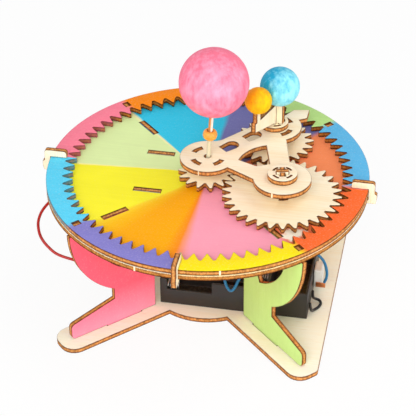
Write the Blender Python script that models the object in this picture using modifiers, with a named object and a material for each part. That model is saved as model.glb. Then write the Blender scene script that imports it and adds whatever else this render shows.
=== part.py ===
"""Motor driven model of the sun, earth and moon, cut from 3 mm plywood sheet.

A round table on four legs carries a ring of inner teeth. A geared motor under the table turns the
centre gear and the sun. A carrier arm rides on the centre axle. Its large gear rolls round the
toothed ring, so the arm orbits, and a third gear on the arm turns the earth and swings the moon.

Metres, +Z up, origin under the middle of the base, which stands on z = 0.
"""

import math

import bmesh
import bpy
import numpy as np
from mathutils import Vector

MM = 0.001

# Sheet and fits
PLY = 3.0 * MM                    # sheet thickness
SEAT = 0.3 * MM                   # gap between pieces that rest on each other
SLOT_PLAY = 0.3 * MM              # each side of a tab in its slot
RUN_PLAY = 0.5 * MM               # radial play of an axle turning in the arm

# Base plate
BASE_DISC_RADIUS = 34.0 * MM      # round middle, seen bulging between the feet
FOOT_BAR_HALF = 9.7 * MM
FOOT_BAR_SPARE = 6.7 * MM         # base plate past the leg's toe
FOOT_ROUND = 8.0 * MM
BASE_SIDE_X = 71.5 * MM           # straight side that carries the battery tray's end
BASE_SIDE_ROUND = 3.0 * MM

# Legs, as radius from the centre and height above the base
LEG_HEIGHT = 68.1 * MM            # base to table
LEG_INNER = 36.6 * MM
LEG_ARC_RADIUS = 53.0 * MM        # quarter arc under the table
LEG_ARC_OVERHANG = 0.5 * MM       # arc's end past the table's edge
LEG_WAIST = 62.5 * MM             # upright step between the arc and the foot
LEG_WAIST_HEIGHT = 16.0 * MM
LEG_TOE_OVERHANG = 2.8 * MM       # toe past the table's edge
LEG_TOE_HEIGHT = 9.3 * MM
LEG_TOE_ROUND = 2.5 * MM
LEG_WINDOW_OUTER = 39.5 * MM      # crescent window, concentric with the quarter arc
LEG_WINDOW_INNER = 27.0 * MM
LEG_WINDOW_FROM = math.radians(-66.0)
LEG_WINDOW_TO = math.radians(-22.0)
LEG_BASE_TAB = (46.0 * MM, 68.0 * MM)
LEG_TABLE_TAB = (51.9 * MM, 66.7 * MM)
LEG_RIM_TAB_INSET = 2.9 * MM      # table's edge to the tab
LEG_RIM_TAB_WIDTH = 3.9 * MM
LEG_RIM_TAB_SUNK = 0.8 * MM       # tab's end below the ring's face
LEG_ANGLES = {"leg_front_left": -135.0, "leg_front_right": -45.0, "leg_back_right": 45.0, "leg_back_left": 135.0}

# Round table
TABLE_BORE = 4.0 * MM
RING_RIM = 8.9 * MM               # plain band of the ring outside its tooth roots

# Gears: straight toothed sheet gears, all in the layer of the toothed ring
MODULE = 2.0 * MM
SUN_TEETH = 14
PLANET_TEETH = 30
EARTH_TEETH = 20
RING_TEETH = 68
ADDENDUM = 1.0                    # tooth height outside the pitch circle, in modules
DEDENDUM = 1.3
TIP_LAND = 0.16                   # tooth tip width, as a share of the pitch
ROOT_LAND = 0.20
RING_TIP_LAND = 0.10
RING_ROOT_LAND = 0.16
SUN_PLANET_PLAY = 0.6 * MM        # added to the pitch distance
PLANET_EARTH_PLAY = 0.4 * MM
RING_TIP_CLEAR = 1.1 * MM         # ring tooth tips to the large gear's roots
RING_ROOT_CLEAR = 2.0 * MM        # large gear's tips to the ring's roots
GEAR_LIFT = 0.6 * MM              # running gap between the table and the gears
PLANET_ANGLE = math.radians(-16.9)
EARTH_FROM_PLANET = math.radians(103.63)
GEAR_SLOT_RADIUS = 6.0 * MM
GEAR_SLOT_WIDTH = 1.7 * MM
GEAR_SLOT_SPAN = math.radians(46.0)
GEAR_SLOT_TURN = math.radians(16.3)

# Cross axles: two interlocked strips of sheet
AXLE_HALF = 3.2 * MM              # half width in the gear, the arm and the washer
AXLE_SHOULDER = 4.8 * MM          # half width between the gear and the arm
AXLE_RISE = 1.3 * MM              # how far the tips stand above the washer
PLANET_CROSS_TURN = math.radians(11.0)

# Carrier arm
ARM_LIFT = 6.9 * MM               # gear top to the arm's underside
ARM_SUN_RADIUS = 15.0 * MM
ARM_PLANET_RADIUS = 15.5 * MM
ARM_EARTH_RADIUS = 15.0 * MM      # front of the earth's end
ARM_EARTH_BACK = 10.3 * MM        # back of it, which stays clear of the moon arm
ARM_BORE = 1.95 * MM
LIMB_SUN_EARTH_HALF = 7.5 * MM
LIMB_FILLET = 8.0 * MM
LIMB_AT_SUN_HALF = 4.5 * MM       # sun to planet limb, lower side, at each end
LIMB_AT_PLANET_HALF = 8.0 * MM
LIMB_PLANET_EARTH_HALF = 5.3 * MM
ARM_SLOT_RADIUS = 8.4 * MM
ARM_SLOT_WIDTH = 2.7 * MM
ARM_SLOT_SPAN = math.radians(42.0)
ARM_SLOT_ANGLES = [math.radians(a) for a in (141.0, 233.0, 325.0)]
EARTH_SLOT_RADIUS = 9.6 * MM
EARTH_SLOTS = [(math.radians(-37.0), ARM_SLOT_SPAN), (math.radians(45.0), math.radians(30.0))]
ARM_EYE_STARTS = (10.5 * MM, 26.7 * MM)   # two bullet shaped holes along the limb
ARM_EYE_LENGTH = 10.3 * MM
ARM_EYE_HALF = 3.7 * MM
WINDOW_SUN = (17.0 * MM, -0.4 * MM)       # corners of the three sided window
WINDOW_EARTH = (29.6 * MM, 16.0 * MM)
WINDOW_PLANET = (34.2 * MM, -1.4 * MM)
WINDOW_FOOT = (27.2 * MM, -4.6 * MM)
WINDOW_BULGE = 2.8 * MM
POINTER_NECK_HALF = 4.0 * MM
POINTER_SHOULDER = (19.0 * MM, 5.5 * MM)
POINTER_TIP = 25.7 * MM

# Washers on the arm
PLANET_WASHER_RADIUS = 8.0 * MM
EARTH_HUB_RADIUS = 7.6 * MM
WASHER_SLOT_RADIUS = 5.2 * MM
WASHER_SLOT_WIDTH = 1.2 * MM
WASHER_SLOT_SPAN = math.radians(44.0)

# Moon arm and earth post, heights above the hub
MOON_ANGLE = math.radians(-110.0)
MOON_ARM_REACH = 24.0 * MM
MOON_ARM_TOP = 11.3 * MM
MOON_ARM_TIP_DEPTH = 5.2 * MM
MOON_POST_OUTER = 22.2 * MM
MOON_POST_WIDTH = 3.4 * MM
MOON_POST_TOP = 19.5 * MM
EARTH_POST_REACH = 5.4 * MM
EARTH_POST_TOP = 16.5 * MM
EARTH_CHEEK_REACH = 4.2 * MM      # short cheek on the other side of the moon arm
EARTH_CHEEK_TOP = 4.5 * MM

# Foam balls
SUN_BALL_RADIUS = 18.6 * MM
SUN_BALL_HEIGHT = 134.6 * MM
EARTH_BALL_RADIUS = 10.9 * MM
EARTH_BALL_RISE = 23.0 * MM       # hub top to ball centre
EARTH_BALL_OFF = 0.8 * MM         # ball's centre nearer the axis than its post's
MOON_BALL_RADIUS = 7.4 * MM
MOON_BALL_RISE = 23.3 * MM
MOON_BALL_OFF = 1.6 * MM
BALL_BORE_DEPTH = 0.62            # share of the radius that a post enters

# Centre drive
SHAFT_RADIUS = 1.5 * MM
SHAFT_FIT = 0.3 * MM
SLEEVE_RADIUS = 3.4 * MM
STICK_RADIUS = 1.2 * MM
STICK_LEAN = math.radians(3.9)
STICK_LEAN_TOWARDS = math.radians(11.0)
COLLAR_RADIUS = 4.0 * MM
COLLAR_HEIGHT = 5.6 * MM
COLLAR_ALONG = 17.5 * MM          # stick's foot to the collar's underside

# Geared motor under the table
BRACKET_Y = 18.0 * MM
BRACKET_HALF = 37.5 * MM
BRACKET_DEPTH = 29.0 * MM
BRACKET_ROUND = 3.0 * MM
BRACKET_TAB = (22.3 * MM, 36.9 * MM)
GEARCASE_LENGTH = 36.0 * MM
GEARCASE_HEIGHT = 15.0 * MM
GEARCASE_LID = 6.0 * MM
GEARCASE_ROUND = 1.5 * MM
GEARCASE_DROP = 3.2 * MM          # table's underside to the lid
BOSS_RADIUS = 6.0 * MM
MOTOR_RADIUS = 7.4 * MM
MOTOR_LENGTH = 25.0 * MM
MOTOR_CAP_LENGTH = 3.5 * MM
MOTOR_CAP_STEP = 0.5 * MM
MOTOR_TAB = (3.2 * MM, 0.6 * MM, 2.2 * MM)
MOTOR_TAB_Y = 4.0 * MM
SCREW_X = GEARCASE_LENGTH / 3
SCREW_SHANK = 1.0 * MM
SCREW_HEAD = 2.2 * MM
SCREW_HEAD_HEIGHT = 1.6 * MM
SCREW_DEPTH = 6.0 * MM

# Battery tray
TRAY_LEFT = -22.6 * MM
TRAY_LENGTH = 82.4 * MM
TRAY_HEIGHT = 17.0 * MM
TRAY_WALL = 1.4 * MM
TRAY_FLOOR = 1.5 * MM
CELL_TROUGH = 14.6 * MM
CELL_BAY = 57.5 * MM
CELL_RIB = 1.2 * MM
CELL_RIB_HEIGHT = 6.0 * MM
CELL_COUNT = 3
TRAY_NOTCH = (-18.7 * MM, 6.5 * MM)
TRAY_NOTCH_SILL = 9.6 * MM
SPRING_RADIUS = 4.2 * MM
SPRING_TIP_RADIUS = 2.4 * MM
SPRING_WIRE = 0.45 * MM
SPRING_LENGTH = 7.0 * MM
SPRING_TURNS = 4.5
SPRING_POINTS_PER_TURN = 9
CONTACT_SIZE = (0.5 * MM, 9.0 * MM, 9.5 * MM)
BLOCK_SIZE = (4.6 * MM, 9.0 * MM, 12.0 * MM)
BLOCK_Y = 3.5 * MM
BLOCK_LIFT = 4.2 * MM             # tray's foot to the block's underside
LUG_SIZE = (5.4 * MM, 0.6 * MM, 3.0 * MM)
LUG_LIFT = 1.1 * MM
LUG_INSET = 0.6 * MM              # lug's middle behind the block's outer face
BLOCK_ROUND = 0.8 * MM

# Rim clips, as radius and height from the table's underside
CLIP_REACH = 9.0 * MM             # top bar, in over the ring
CLIP_OUTER_WALL = 3.2 * MM
CLIP_TOP_BAR = 3.9 * MM
CLIP_JAW = 2.2 * MM
CLIP_JAW_REACH = 4.3 * MM
CLIP_THUMB = 1.3 * MM             # lower back, out past the upper back
CLIP_THUMB_HEIGHT = 3.0 * MM
CLIP_STEP = 1.0 * MM
CLIP_CORNER_ROUND = 1.6 * MM
CLIP_TOE_ROUND = 0.6 * MM
CLIP_ANGLES = {"rim_clip_front": -90.0, "rim_clip_right": 0.0, "rim_clip_back": 90.0, "rim_clip_left": 180.0}

# Leads, as points along each route
LEAD_RADIUS = 0.8 * MM
LEAD_STEP = 3.4 * MM
RED_ROUTE = [(-50.95, 4, 54.7), (-57, 4.3, 56.5), (-65, 2.5, 60.2), (-74, -4.5, 62), (-82, -14, 61),
             (-87, -22.5, 58), (-88.3, -29, 55), (-87, -34.5, 52.8), (-84.6, -38.3, 50), (-80.5, -41, 46.8),
             (-74.9, -42.8, 43.6), (-66.3, -43.2, 41.4), (-57, -40, 37.5), (-47, -32.5, 32), (-38, -24.5, 26.5),
             (-31, -19, 24.2), (-26.5, -17, 24.8), (-22, -16.3, 23.8), (-19.4, -15.9, 20.4), (-19.1, -15.8, 15.8)]
BLUE_ROUTE = [(-50.95, -4, 54.7), (-55.8, -4.6, 53.8), (-58, -7.5, 49.5), (-54, -11.5, 43.5), (-40, -15, 38),
              (-20, -18, 36), (-4, -20, 36.5), (5, -21.3, 36), (10.5, -23.3, 31.5), (13.6, -25.3, 25.8),
              (15.4, -26.2, 21), (17.6, -26.5, 18.7), (19.8, -26.2, 21), (21.8, -25, 25.8), (25.5, -21.5, 32.5),
              (32, -16, 37.5), (42, -10.5, 39.5), (51, -6.5, 38.5), (58.5, -3.5, 35), (63, -1.9, 30.3),
              (65.6, -0.4, 25.3), (67.2, -1, 20.1), (67.3, -1.5, 15.8), (66.2, -1.7, 12.2)]
BLACK_ROUTE = [(60.95, -21.8, 12.6), (61.3, -21.9, 10.2), (61.6, -21.2, 7.8), (61.8, -19.6, 5.6),
               (62.6, -17.6, 4.6), (64.2, -15.2, 4.3), (65.5, -12.6, 4.3), (65.6, -10, 4.3), (64.4, -8.2, 4.5),
               (62.5, -8.4, 5.4), (61.5, -10, 7.2), (61.2, -11.4, 9.6), (61.1, -12, 13.4)]

# Heights that follow from the sizes above
BASE_TOP = PLY
LEG_FOOT_Z = BASE_TOP + SEAT
TABLE_Z = LEG_FOOT_Z + LEG_HEIGHT + SEAT
TABLE_TOP = TABLE_Z + PLY
RING_Z = TABLE_TOP + SEAT
RING_TOP = RING_Z + PLY
GEAR_Z = TABLE_TOP + GEAR_LIFT
GEAR_TOP = GEAR_Z + PLY
ARM_Z = GEAR_TOP + ARM_LIFT
ARM_TOP = ARM_Z + PLY
HUB_Z = ARM_TOP + SEAT
HUB_TOP = HUB_Z + PLY
TRAY_DEPTH = CELL_COUNT * CELL_TROUGH + (CELL_COUNT - 1) * CELL_RIB + 2 * TRAY_WALL
TRAY_Z = BASE_TOP + SEAT
TRAY_RIGHT = TRAY_LEFT + TRAY_LENGTH
LEG_TOP_Z = TABLE_Z - SEAT
GEARCASE_TOP = TABLE_Z - GEARCASE_DROP
GEARCASE_HALF_Y = BRACKET_Y - PLY / 2 - SEAT
MOTOR_Z = GEARCASE_TOP - GEARCASE_LID - SEAT - GEARCASE_HEIGHT / 2

# Gear places: the arm's three axes
SUN_PITCH = MODULE * SUN_TEETH / 2
PLANET_PITCH = MODULE * PLANET_TEETH / 2
EARTH_PITCH = MODULE * EARTH_TEETH / 2
ORBIT_RADIUS = SUN_PITCH + PLANET_PITCH + SUN_PLANET_PLAY
PLANET_AXIS = Vector((math.cos(PLANET_ANGLE), math.sin(PLANET_ANGLE))) * ORBIT_RADIUS
EARTH_REACH = PLANET_PITCH + EARTH_PITCH + PLANET_EARTH_PLAY
EARTH_AXIS = PLANET_AXIS + Vector((math.cos(EARTH_FROM_PLANET), math.sin(EARTH_FROM_PLANET))) * EARTH_REACH
EARTH_ANGLE = math.atan2(EARTH_AXIS.y, EARTH_AXIS.x)
RING_TIP = ORBIT_RADIUS + PLANET_PITCH - DEDENDUM * MODULE + RING_TIP_CLEAR
RING_ROOT = ORBIT_RADIUS + PLANET_PITCH + ADDENDUM * MODULE + RING_ROOT_CLEAR

# Round outline of the table and what follows it
TABLE_RADIUS = RING_ROOT + RING_RIM
LEG_ARC_REACH = TABLE_RADIUS + LEG_ARC_OVERHANG
LEG_FOOT_REACH = TABLE_RADIUS + LEG_TOE_OVERHANG
LEG_RIM_TAB = (TABLE_RADIUS - LEG_RIM_TAB_INSET - LEG_RIM_TAB_WIDTH, TABLE_RADIUS - LEG_RIM_TAB_INSET)
FOOT_BAR_REACH = LEG_FOOT_REACH + FOOT_BAR_SPARE

# Paint and stock colours: base colour, roughness, metallic
FINISHES = {
    "bare_ply": ((0.93, 0.80, 0.60), 0.70, 0.0),
    "table_paint": ((0.95, 0.60, 0.30), 0.70, 0.0),
    "ring_paint": ((0.90, 0.45, 0.25), 0.70, 0.0),
    "pink_paint": ((1.00, 0.25, 0.35), 0.65, 0.0),
    "green_paint": ((0.56, 0.84, 0.28), 0.65, 0.0),
    "yellow_paint": ((0.98, 0.75, 0.05), 0.65, 0.0),
    "blue_paint": ((0.12, 0.55, 0.85), 0.65, 0.0),
    "sun_foam": ((1.00, 0.33, 0.52), 0.75, 0.0),
    "earth_foam": ((0.12, 0.67, 0.91), 0.75, 0.0),
    "moon_foam": ((1.00, 0.55, 0.02), 0.75, 0.0),
    "black_plastic": ((0.045, 0.038, 0.034), 0.45, 0.0),
    "white_plastic": ((0.85, 0.84, 0.80), 0.50, 0.0),
    "yellow_plastic": ((0.90, 0.62, 0.06), 0.45, 0.0),
    "orange_rubber": ((0.98, 0.45, 0.08), 0.50, 0.0),
    "clear_tube": ((0.90, 0.88, 0.80), 0.30, 0.0),
    "bamboo": ((0.90, 0.75, 0.50), 0.60, 0.0),
    "steel": ((0.62, 0.62, 0.64), 0.30, 1.0),
    "copper": ((0.80, 0.42, 0.24), 0.35, 1.0),
    "red_lead": ((0.55, 0.01, 0.02), 0.40, 0.0),
    "blue_lead": ((0.02, 0.24, 0.50), 0.40, 0.0),
    "black_lead": ((0.02, 0.02, 0.02), 0.40, 0.0),
}


# Scene and helpers

def clear_scene():
    for old in list(bpy.data.objects):
        bpy.data.objects.remove(old, do_unlink=True)


def new_collection(name):
    group = bpy.data.collections.new(name)
    bpy.context.scene.collection.children.link(group)
    return group


clear_scene()
MODEL = new_collection("earth_orbit_model")
CUTTERS = new_collection("cutters")


def finish(name):
    if name in bpy.data.materials:
        return bpy.data.materials[name]
    colour, roughness, metallic = FINISHES[name]
    material = bpy.data.materials.new(name)
    material.use_nodes = True
    shader = material.node_tree.nodes["Principled BSDF"]
    shader.inputs["Base Color"].default_value = (*colour, 1.0)
    shader.inputs["Roughness"].default_value = roughness
    shader.inputs["Metallic"].default_value = metallic
    material.diffuse_color = (*colour, 1.0)
    return material


def add_object(name, data, material, parent=None):
    piece = bpy.data.objects.new(name, data)
    data.materials.append(finish(material))
    MODEL.objects.link(piece)
    piece.parent = parent
    return piece


def add_pivot(name, axis_xy, parent=None):
    """Empty on a vertical joint axis. Its children keep world heights."""
    pivot = bpy.data.objects.new(name, None)
    pivot.empty_display_size = 0.01
    pivot.location = (axis_xy[0], axis_xy[1], 0.0)
    MODEL.objects.link(pivot)
    if parent is not None:
        pivot.location.x -= parent.location.x
        pivot.location.y -= parent.location.y
        pivot.parent = parent
    return pivot


# Outlines, as lists of (x, y)

def arc(centre, radius, start, end, steps):
    turn = np.linspace(start, end, steps + 1)
    return [(centre[0] + radius * math.cos(a), centre[1] + radius * math.sin(a)) for a in turn]


def circle(centre, radius, steps=32):
    return arc(centre, radius, 0.0, 2 * math.pi, steps)[:-1]


def box(x0, x1, y0, y1):
    return [(x0, y0), (x1, y0), (x1, y1), (x0, y1)]


def turned(points, angle, centre=(0.0, 0.0)):
    c, s = math.cos(angle), math.sin(angle)
    return [(centre[0] + c * x - s * y, centre[1] + s * x + c * y) for x, y in points]


def rounded(corners, steps=4):
    """Corners are (x, y, radius); a radius of zero keeps the corner sharp."""
    points = []
    count = len(corners)
    for i, (x, y, radius) in enumerate(corners):
        here = Vector((x, y))
        if radius == 0.0:
            points.append((x, y))
            continue
        before = (Vector(corners[i - 1][:2]) - here).normalized()
        after = (Vector(corners[(i + 1) % count][:2]) - here).normalized()
        half = before.angle(after) / 2
        reach = radius / math.tan(half)
        middle = here + (before + after).normalized() * (radius / math.sin(half))
        first = here + before * reach - middle
        last = here + after * reach - middle
        start = math.atan2(first.y, first.x)
        sweep = math.atan2(first.cross(last), first.dot(last))
        points += arc(middle, radius, start, start + sweep, steps)
    return points


def cross_hole(centre=(0.0, 0.0), angle=0.0):
    """Hole for a cross axle, with play on every side."""
    long_side = AXLE_HALF + SLOT_PLAY
    short_side = PLY / 2 + SLOT_PLAY
    quarter = [(long_side, -short_side), (long_side, short_side), (short_side, short_side)]
    points = []
    for k in range(4):
        points += turned(quarter, k * math.pi / 2)
    return turned(points, angle, centre)


def arc_slot(centre, radius, width, middle, span, steps=6):
    outer = arc(centre, radius + width / 2, middle - span / 2, middle + span / 2, steps)
    inner = arc(centre, radius - width / 2, middle + span / 2, middle - span / 2, steps)
    return outer + inner


def gear_outline(teeth, root, tip, root_land, tip_land, gap_angle):
    """Teeth with slightly bellied flanks. A gap between two teeth is centred on gap_angle."""
    pitch = 2 * math.pi / teeth
    middle = root + 0.45 * (tip - root)
    belly = 0.5 * (root_land + (1 - tip_land)) * 0.93
    points = []
    for k in range(teeth):
        gap = gap_angle + k * pitch
        for radius, share in ((tip, -(1 - tip_land)), (middle, -belly), (root, -root_land),
                              (root, root_land), (middle, belly), (tip, 1 - tip_land)):
            turn = gap + 0.5 * share * pitch
            points.append((radius * math.cos(turn), radius * math.sin(turn)))
    return points


# Solids

def sheet(name, outlines, z, material, parent=None, thickness=PLY, at=(0.0, 0.0), angle=0.0, upright=False):
    """Flat cut piece: a filled curve, extruded by half its thickness each way.

    The first outline is the edge and the rest are holes. A piece lies flat with its
    underside at z, or stands upright with outline y as height and x along the angle.
    """
    curve = bpy.data.curves.new(name, "CURVE")
    curve.dimensions = "2D"
    curve.fill_mode = "BOTH"
    curve.extrude = thickness / 2
    for outline in outlines:
        spline = curve.splines.new("POLY")
        spline.points.add(len(outline) - 1)
        for point, (x, y) in zip(spline.points, outline):
            point.co = (x, y, 0.0, 1.0)
        spline.use_cyclic_u = True
    piece = add_object(name, curve, material, parent)
    if upright:
        piece.location = (at[0], at[1], z)
        piece.rotation_euler = (math.pi / 2, 0.0, angle)
    else:
        piece.location = (at[0], at[1], z + thickness / 2)
        piece.rotation_euler = (0.0, 0.0, angle)
    return piece


def block(name, size, centre, material, parent=None, bevel=0.0, group=MODEL):
    mesh = bpy.data.meshes.new(name)
    shape = bmesh.new()
    bmesh.ops.create_cube(shape, size=1.0)
    bmesh.ops.scale(shape, vec=size, verts=shape.verts)
    shape.to_mesh(mesh)
    shape.free()
    if group is MODEL:
        piece = add_object(name, mesh, material, parent)
    else:
        piece = cutter(name, mesh)
    piece.location = centre
    if bevel:
        edges = piece.modifiers.new("edges", "BEVEL")
        edges.width = bevel
        edges.segments = 2
    return piece


def rod(name, radius, length, centre, axis, material, parent=None, sides=24, group=MODEL):
    """Cylinder with its middle at the centre, along the axis."""
    mesh = bpy.data.meshes.new(name)
    shape = bmesh.new()
    bmesh.ops.create_cone(shape, cap_ends=True, segments=sides, radius1=radius, radius2=radius, depth=length)
    shape.to_mesh(mesh)
    shape.free()
    if group is MODEL:
        piece = add_object(name, mesh, material, parent)
        smooth(piece)
    else:
        piece = cutter(name, mesh)
    piece.location = centre
    piece.rotation_mode = "QUATERNION"
    piece.rotation_quaternion = Vector((0, 0, 1)).rotation_difference(Vector(axis))
    return piece


def cutter(name, mesh):
    piece = bpy.data.objects.new(name, mesh)
    CUTTERS.objects.link(piece)
    piece.hide_render = True
    piece.display_type = "WIRE"
    return piece


def smooth(piece, angle=35.0):
    piece.data.shade_smooth()
    piece.data.set_sharp_from_angle(angle=math.radians(angle))


def cut(piece, tool, operation="DIFFERENCE"):
    change = piece.modifiers.new(tool.name, "BOOLEAN")
    change.operation = operation
    change.solver = "EXACT"
    change.object = tool


def turned_piece(name, profile, material, parent=None, steps=32):
    """Profile of (radius, height), top to bottom down the outside, closed back up a bore if it has one."""
    mesh = bpy.data.meshes.new(name)
    count = len(profile)
    last = count if profile[0][0] > 0 else count - 1
    mesh.from_pydata([(r, 0.0, z) for r, z in profile], [(i, (i + 1) % count) for i in range(last)], [])
    piece = add_object(name, mesh, material, parent)
    lathe = piece.modifiers.new("turn", "SCREW")
    lathe.steps = steps
    lathe.render_steps = steps
    lathe.use_merge_vertices = True
    lathe.merge_threshold = 0.00005
    bpy.context.view_layer.update()
    solid = bpy.data.meshes.new_from_object(piece.evaluated_get(bpy.context.evaluated_depsgraph_get()))
    piece.modifiers.clear()
    piece.data = solid
    bpy.data.meshes.remove(mesh)
    smooth(piece)
    return piece


def ball(name, radius, centre, material, parent, bore_radius, bore_axis, segments, rings, bore_off=(0, 0, 0)):
    """Foam ball pushed on to a post: a blind bore from below, off the centre by bore_off."""
    mesh = bpy.data.meshes.new(name)
    shape = bmesh.new()
    bmesh.ops.create_uvsphere(shape, u_segments=segments, v_segments=rings, radius=radius)
    shape.to_mesh(mesh)
    shape.free()
    piece = add_object(name, mesh, material, parent)
    smooth(piece)
    piece.location = centre
    depth = radius * BALL_BORE_DEPTH
    world = Vector(centre) + Vector(bore_off)
    if parent is not None:
        bpy.context.view_layer.update()
        world += Vector(parent.matrix_world.translation)
    axis = Vector(bore_axis)
    reach = radius + depth
    bore = rod(name + "_bore", bore_radius, reach, world - axis * (reach / 2 + radius - depth), axis, None,
               sides=12, group=CUTTERS)
    cut(piece, bore)
    return piece


def smooth_route(route, step):
    """Even points on a smooth curve through the route's own points."""
    knots = [Vector(p) * MM for p in route]
    knots = [2 * knots[0] - knots[1]] + knots + [2 * knots[-1] - knots[-2]]
    fine = []
    for a, b, c, d in zip(knots, knots[1:], knots[2:], knots[3:]):
        for t in np.linspace(0.0, 1.0, 24, endpoint=False):
            fine.append(0.5 * (2 * b + (c - a) * t + (2 * a - 5 * b + 4 * c - d) * t * t
                               + (3 * b - a - 3 * c + d) * t ** 3))
    fine.append(knots[-2])
    lengths = np.concatenate([[0.0], np.cumsum([(q - p).length for p, q in zip(fine, fine[1:])])])
    count = max(2, round(lengths[-1] / step))
    table = np.array([tuple(p) for p in fine])
    marks = np.linspace(0.0, lengths[-1], count + 1)
    return np.stack([np.interp(marks, lengths, table[:, k]) for k in range(3)], axis=1)


def tube(name, points, radius, material, resolution=2):
    curve = bpy.data.curves.new(name, "CURVE")
    curve.dimensions = "3D"
    curve.bevel_depth = radius
    curve.bevel_resolution = resolution
    curve.use_fill_caps = True
    spline = curve.splines.new("POLY")
    spline.points.add(len(points) - 1)
    for point, place in zip(spline.points, points):
        point.co = (*place, 1.0)
    return add_object(name, curve, material)


# Base plate: round middle, four foot bars, and a filled side under the tray

def make_base_plate():
    bar_turn = math.asin(FOOT_BAR_HALF / BASE_DISC_RADIUS)
    along = FOOT_BAR_REACH * math.cos(math.pi / 4)
    across = FOOT_BAR_HALF * math.cos(math.pi / 4)

    def bulge(middle):
        sweep = math.pi / 4 - bar_turn
        return arc((0, 0), BASE_DISC_RADIUS, middle - sweep, middle + sweep, 10)

    def foot(sign_y):
        tip = (along - across, sign_y * (along + across), FOOT_ROUND)
        side = (BASE_SIDE_X, sign_y * (2 * along - BASE_SIDE_X), BASE_SIDE_ROUND)
        return tip, side

    def left_foot(sign_y):
        return [(-along + across, sign_y * (along + across), FOOT_ROUND),
                (-along - across, sign_y * (along - across), FOOT_ROUND)]

    front_tip, front_side = foot(-1)
    back_tip, back_side = foot(1)
    sharp = [(x, y, 0.0) for x, y in bulge(-math.pi / 2)]
    corners = sharp + [front_tip, front_side, back_side, back_tip]
    corners += [(x, y, 0.0) for x, y in bulge(math.pi / 2)] + left_foot(1)
    corners += [(x, y, 0.0) for x, y in bulge(math.pi)] + left_foot(-1)[::-1]
    holes = []
    for degrees in LEG_ANGLES.values():
        slot = box(LEG_BASE_TAB[0] - SLOT_PLAY, LEG_BASE_TAB[1] + SLOT_PLAY,
                   -PLY / 2 - SLOT_PLAY, PLY / 2 + SLOT_PLAY)
        holes.append(turned(slot, math.radians(degrees)))
    sheet("base_plate", [rounded(corners, 6)] + holes, 0.0, "bare_ply")


# Legs: one outline, four upright plates on the diagonals

def make_legs():
    top = LEG_TOP_Z
    hub = (LEG_ARC_REACH - LEG_ARC_RADIUS, top)
    waist_turn = -math.acos((LEG_WAIST - hub[0]) / LEG_ARC_RADIUS)
    foot = LEG_FOOT_Z
    corners = [(LEG_INNER, foot, 0.0)]
    corners += [(LEG_BASE_TAB[0], foot, 0.0), (LEG_BASE_TAB[0], SEAT, 0.0),
                (LEG_BASE_TAB[1], SEAT, 0.0), (LEG_BASE_TAB[1], foot, 0.0)]
    corners += [(LEG_FOOT_REACH, foot, LEG_TOE_ROUND), (LEG_FOOT_REACH, foot + LEG_TOE_HEIGHT, LEG_TOE_ROUND),
                (LEG_WAIST, foot + LEG_WAIST_HEIGHT, 0.0)]
    corners += [(x, z, 0.0) for x, z in arc(hub, LEG_ARC_RADIUS, waist_turn, 0.0, 20)]
    rim_tab_top = RING_TOP - LEG_RIM_TAB_SUNK
    corners += [(LEG_RIM_TAB[1], top, 0.0), (LEG_RIM_TAB[1], rim_tab_top, 0.0),
                (LEG_RIM_TAB[0], rim_tab_top, 0.0), (LEG_RIM_TAB[0], top, 0.0)]
    corners += [(LEG_TABLE_TAB[1], top, 0.0), (LEG_TABLE_TAB[1], TABLE_TOP, 0.0),
                (LEG_TABLE_TAB[0], TABLE_TOP, 0.0), (LEG_TABLE_TAB[0], top, 0.0)]
    corners += [(LEG_INNER, top, 0.0)]
    window = arc(hub, LEG_WINDOW_OUTER, LEG_WINDOW_FROM, LEG_WINDOW_TO, 10)
    window += arc(hub, LEG_WINDOW_INNER, LEG_WINDOW_TO, LEG_WINDOW_FROM, 8)
    paints = ["pink_paint", "green_paint", "yellow_paint", "blue_paint"]
    for (name, degrees), paint in zip(LEG_ANGLES.items(), paints):
        sheet(name, [rounded(corners), window], 0.0, paint, angle=math.radians(degrees), upright=True)


# Round table and the toothed ring on it

def diagonal_slots(tab):
    slot = box(tab[0] - SLOT_PLAY, tab[1] + SLOT_PLAY, -PLY / 2 - SLOT_PLAY, PLY / 2 + SLOT_PLAY)
    return [turned(slot, math.radians(degrees)) for degrees in LEG_ANGLES.values()]


def make_table():
    holes = [circle((0, 0), TABLE_BORE, 24)] + diagonal_slots(LEG_TABLE_TAB) + diagonal_slots(LEG_RIM_TAB)
    for side in (-1, 1):
        for end in (-1, 1):
            x0, x1 = sorted((end * (BRACKET_TAB[0] - SLOT_PLAY), end * (BRACKET_TAB[1] + SLOT_PLAY)))
            y = side * BRACKET_Y
            holes.append(box(x0, x1, y - PLY / 2 - SLOT_PLAY, y + PLY / 2 + SLOT_PLAY))
    sheet("orbit_table", [circle((0, 0), TABLE_RADIUS, 96)] + holes, TABLE_Z, "table_paint")


def make_toothed_ring():
    teeth = ring_teeth_outline()
    sheet("toothed_ring", [circle((0, 0), TABLE_RADIUS, 96), teeth] + diagonal_slots(LEG_RIM_TAB),
          RING_Z, "ring_paint")


def ring_teeth_outline():
    """Inner edge of the ring. A gap lies on each diagonal, in line with the legs."""
    pitch = 2 * math.pi / RING_TEETH
    middle = RING_TIP + 0.5 * (RING_ROOT - RING_TIP)
    belly = 0.5 * (RING_ROOT_LAND + (1 - RING_TIP_LAND)) * 1.05
    points = []
    for k in range(RING_TEETH):
        gap = ring_gap_angle() + k * pitch
        for radius, share in ((RING_TIP, -(1 - RING_TIP_LAND)), (middle, -belly), (RING_ROOT, -RING_ROOT_LAND),
                              (RING_ROOT, RING_ROOT_LAND), (middle, belly), (RING_TIP, 1 - RING_TIP_LAND)):
            turn = gap + 0.5 * share * pitch
            points.append((radius * math.cos(turn), radius * math.sin(turn)))
    return points


# Meshing: where each gear's gap has to lie at rest

def share_of_pitch(angle, pitch):
    """Signed distance to the nearest whole pitch, as a share of one pitch."""
    return angle / pitch - round(angle / pitch)


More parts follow.
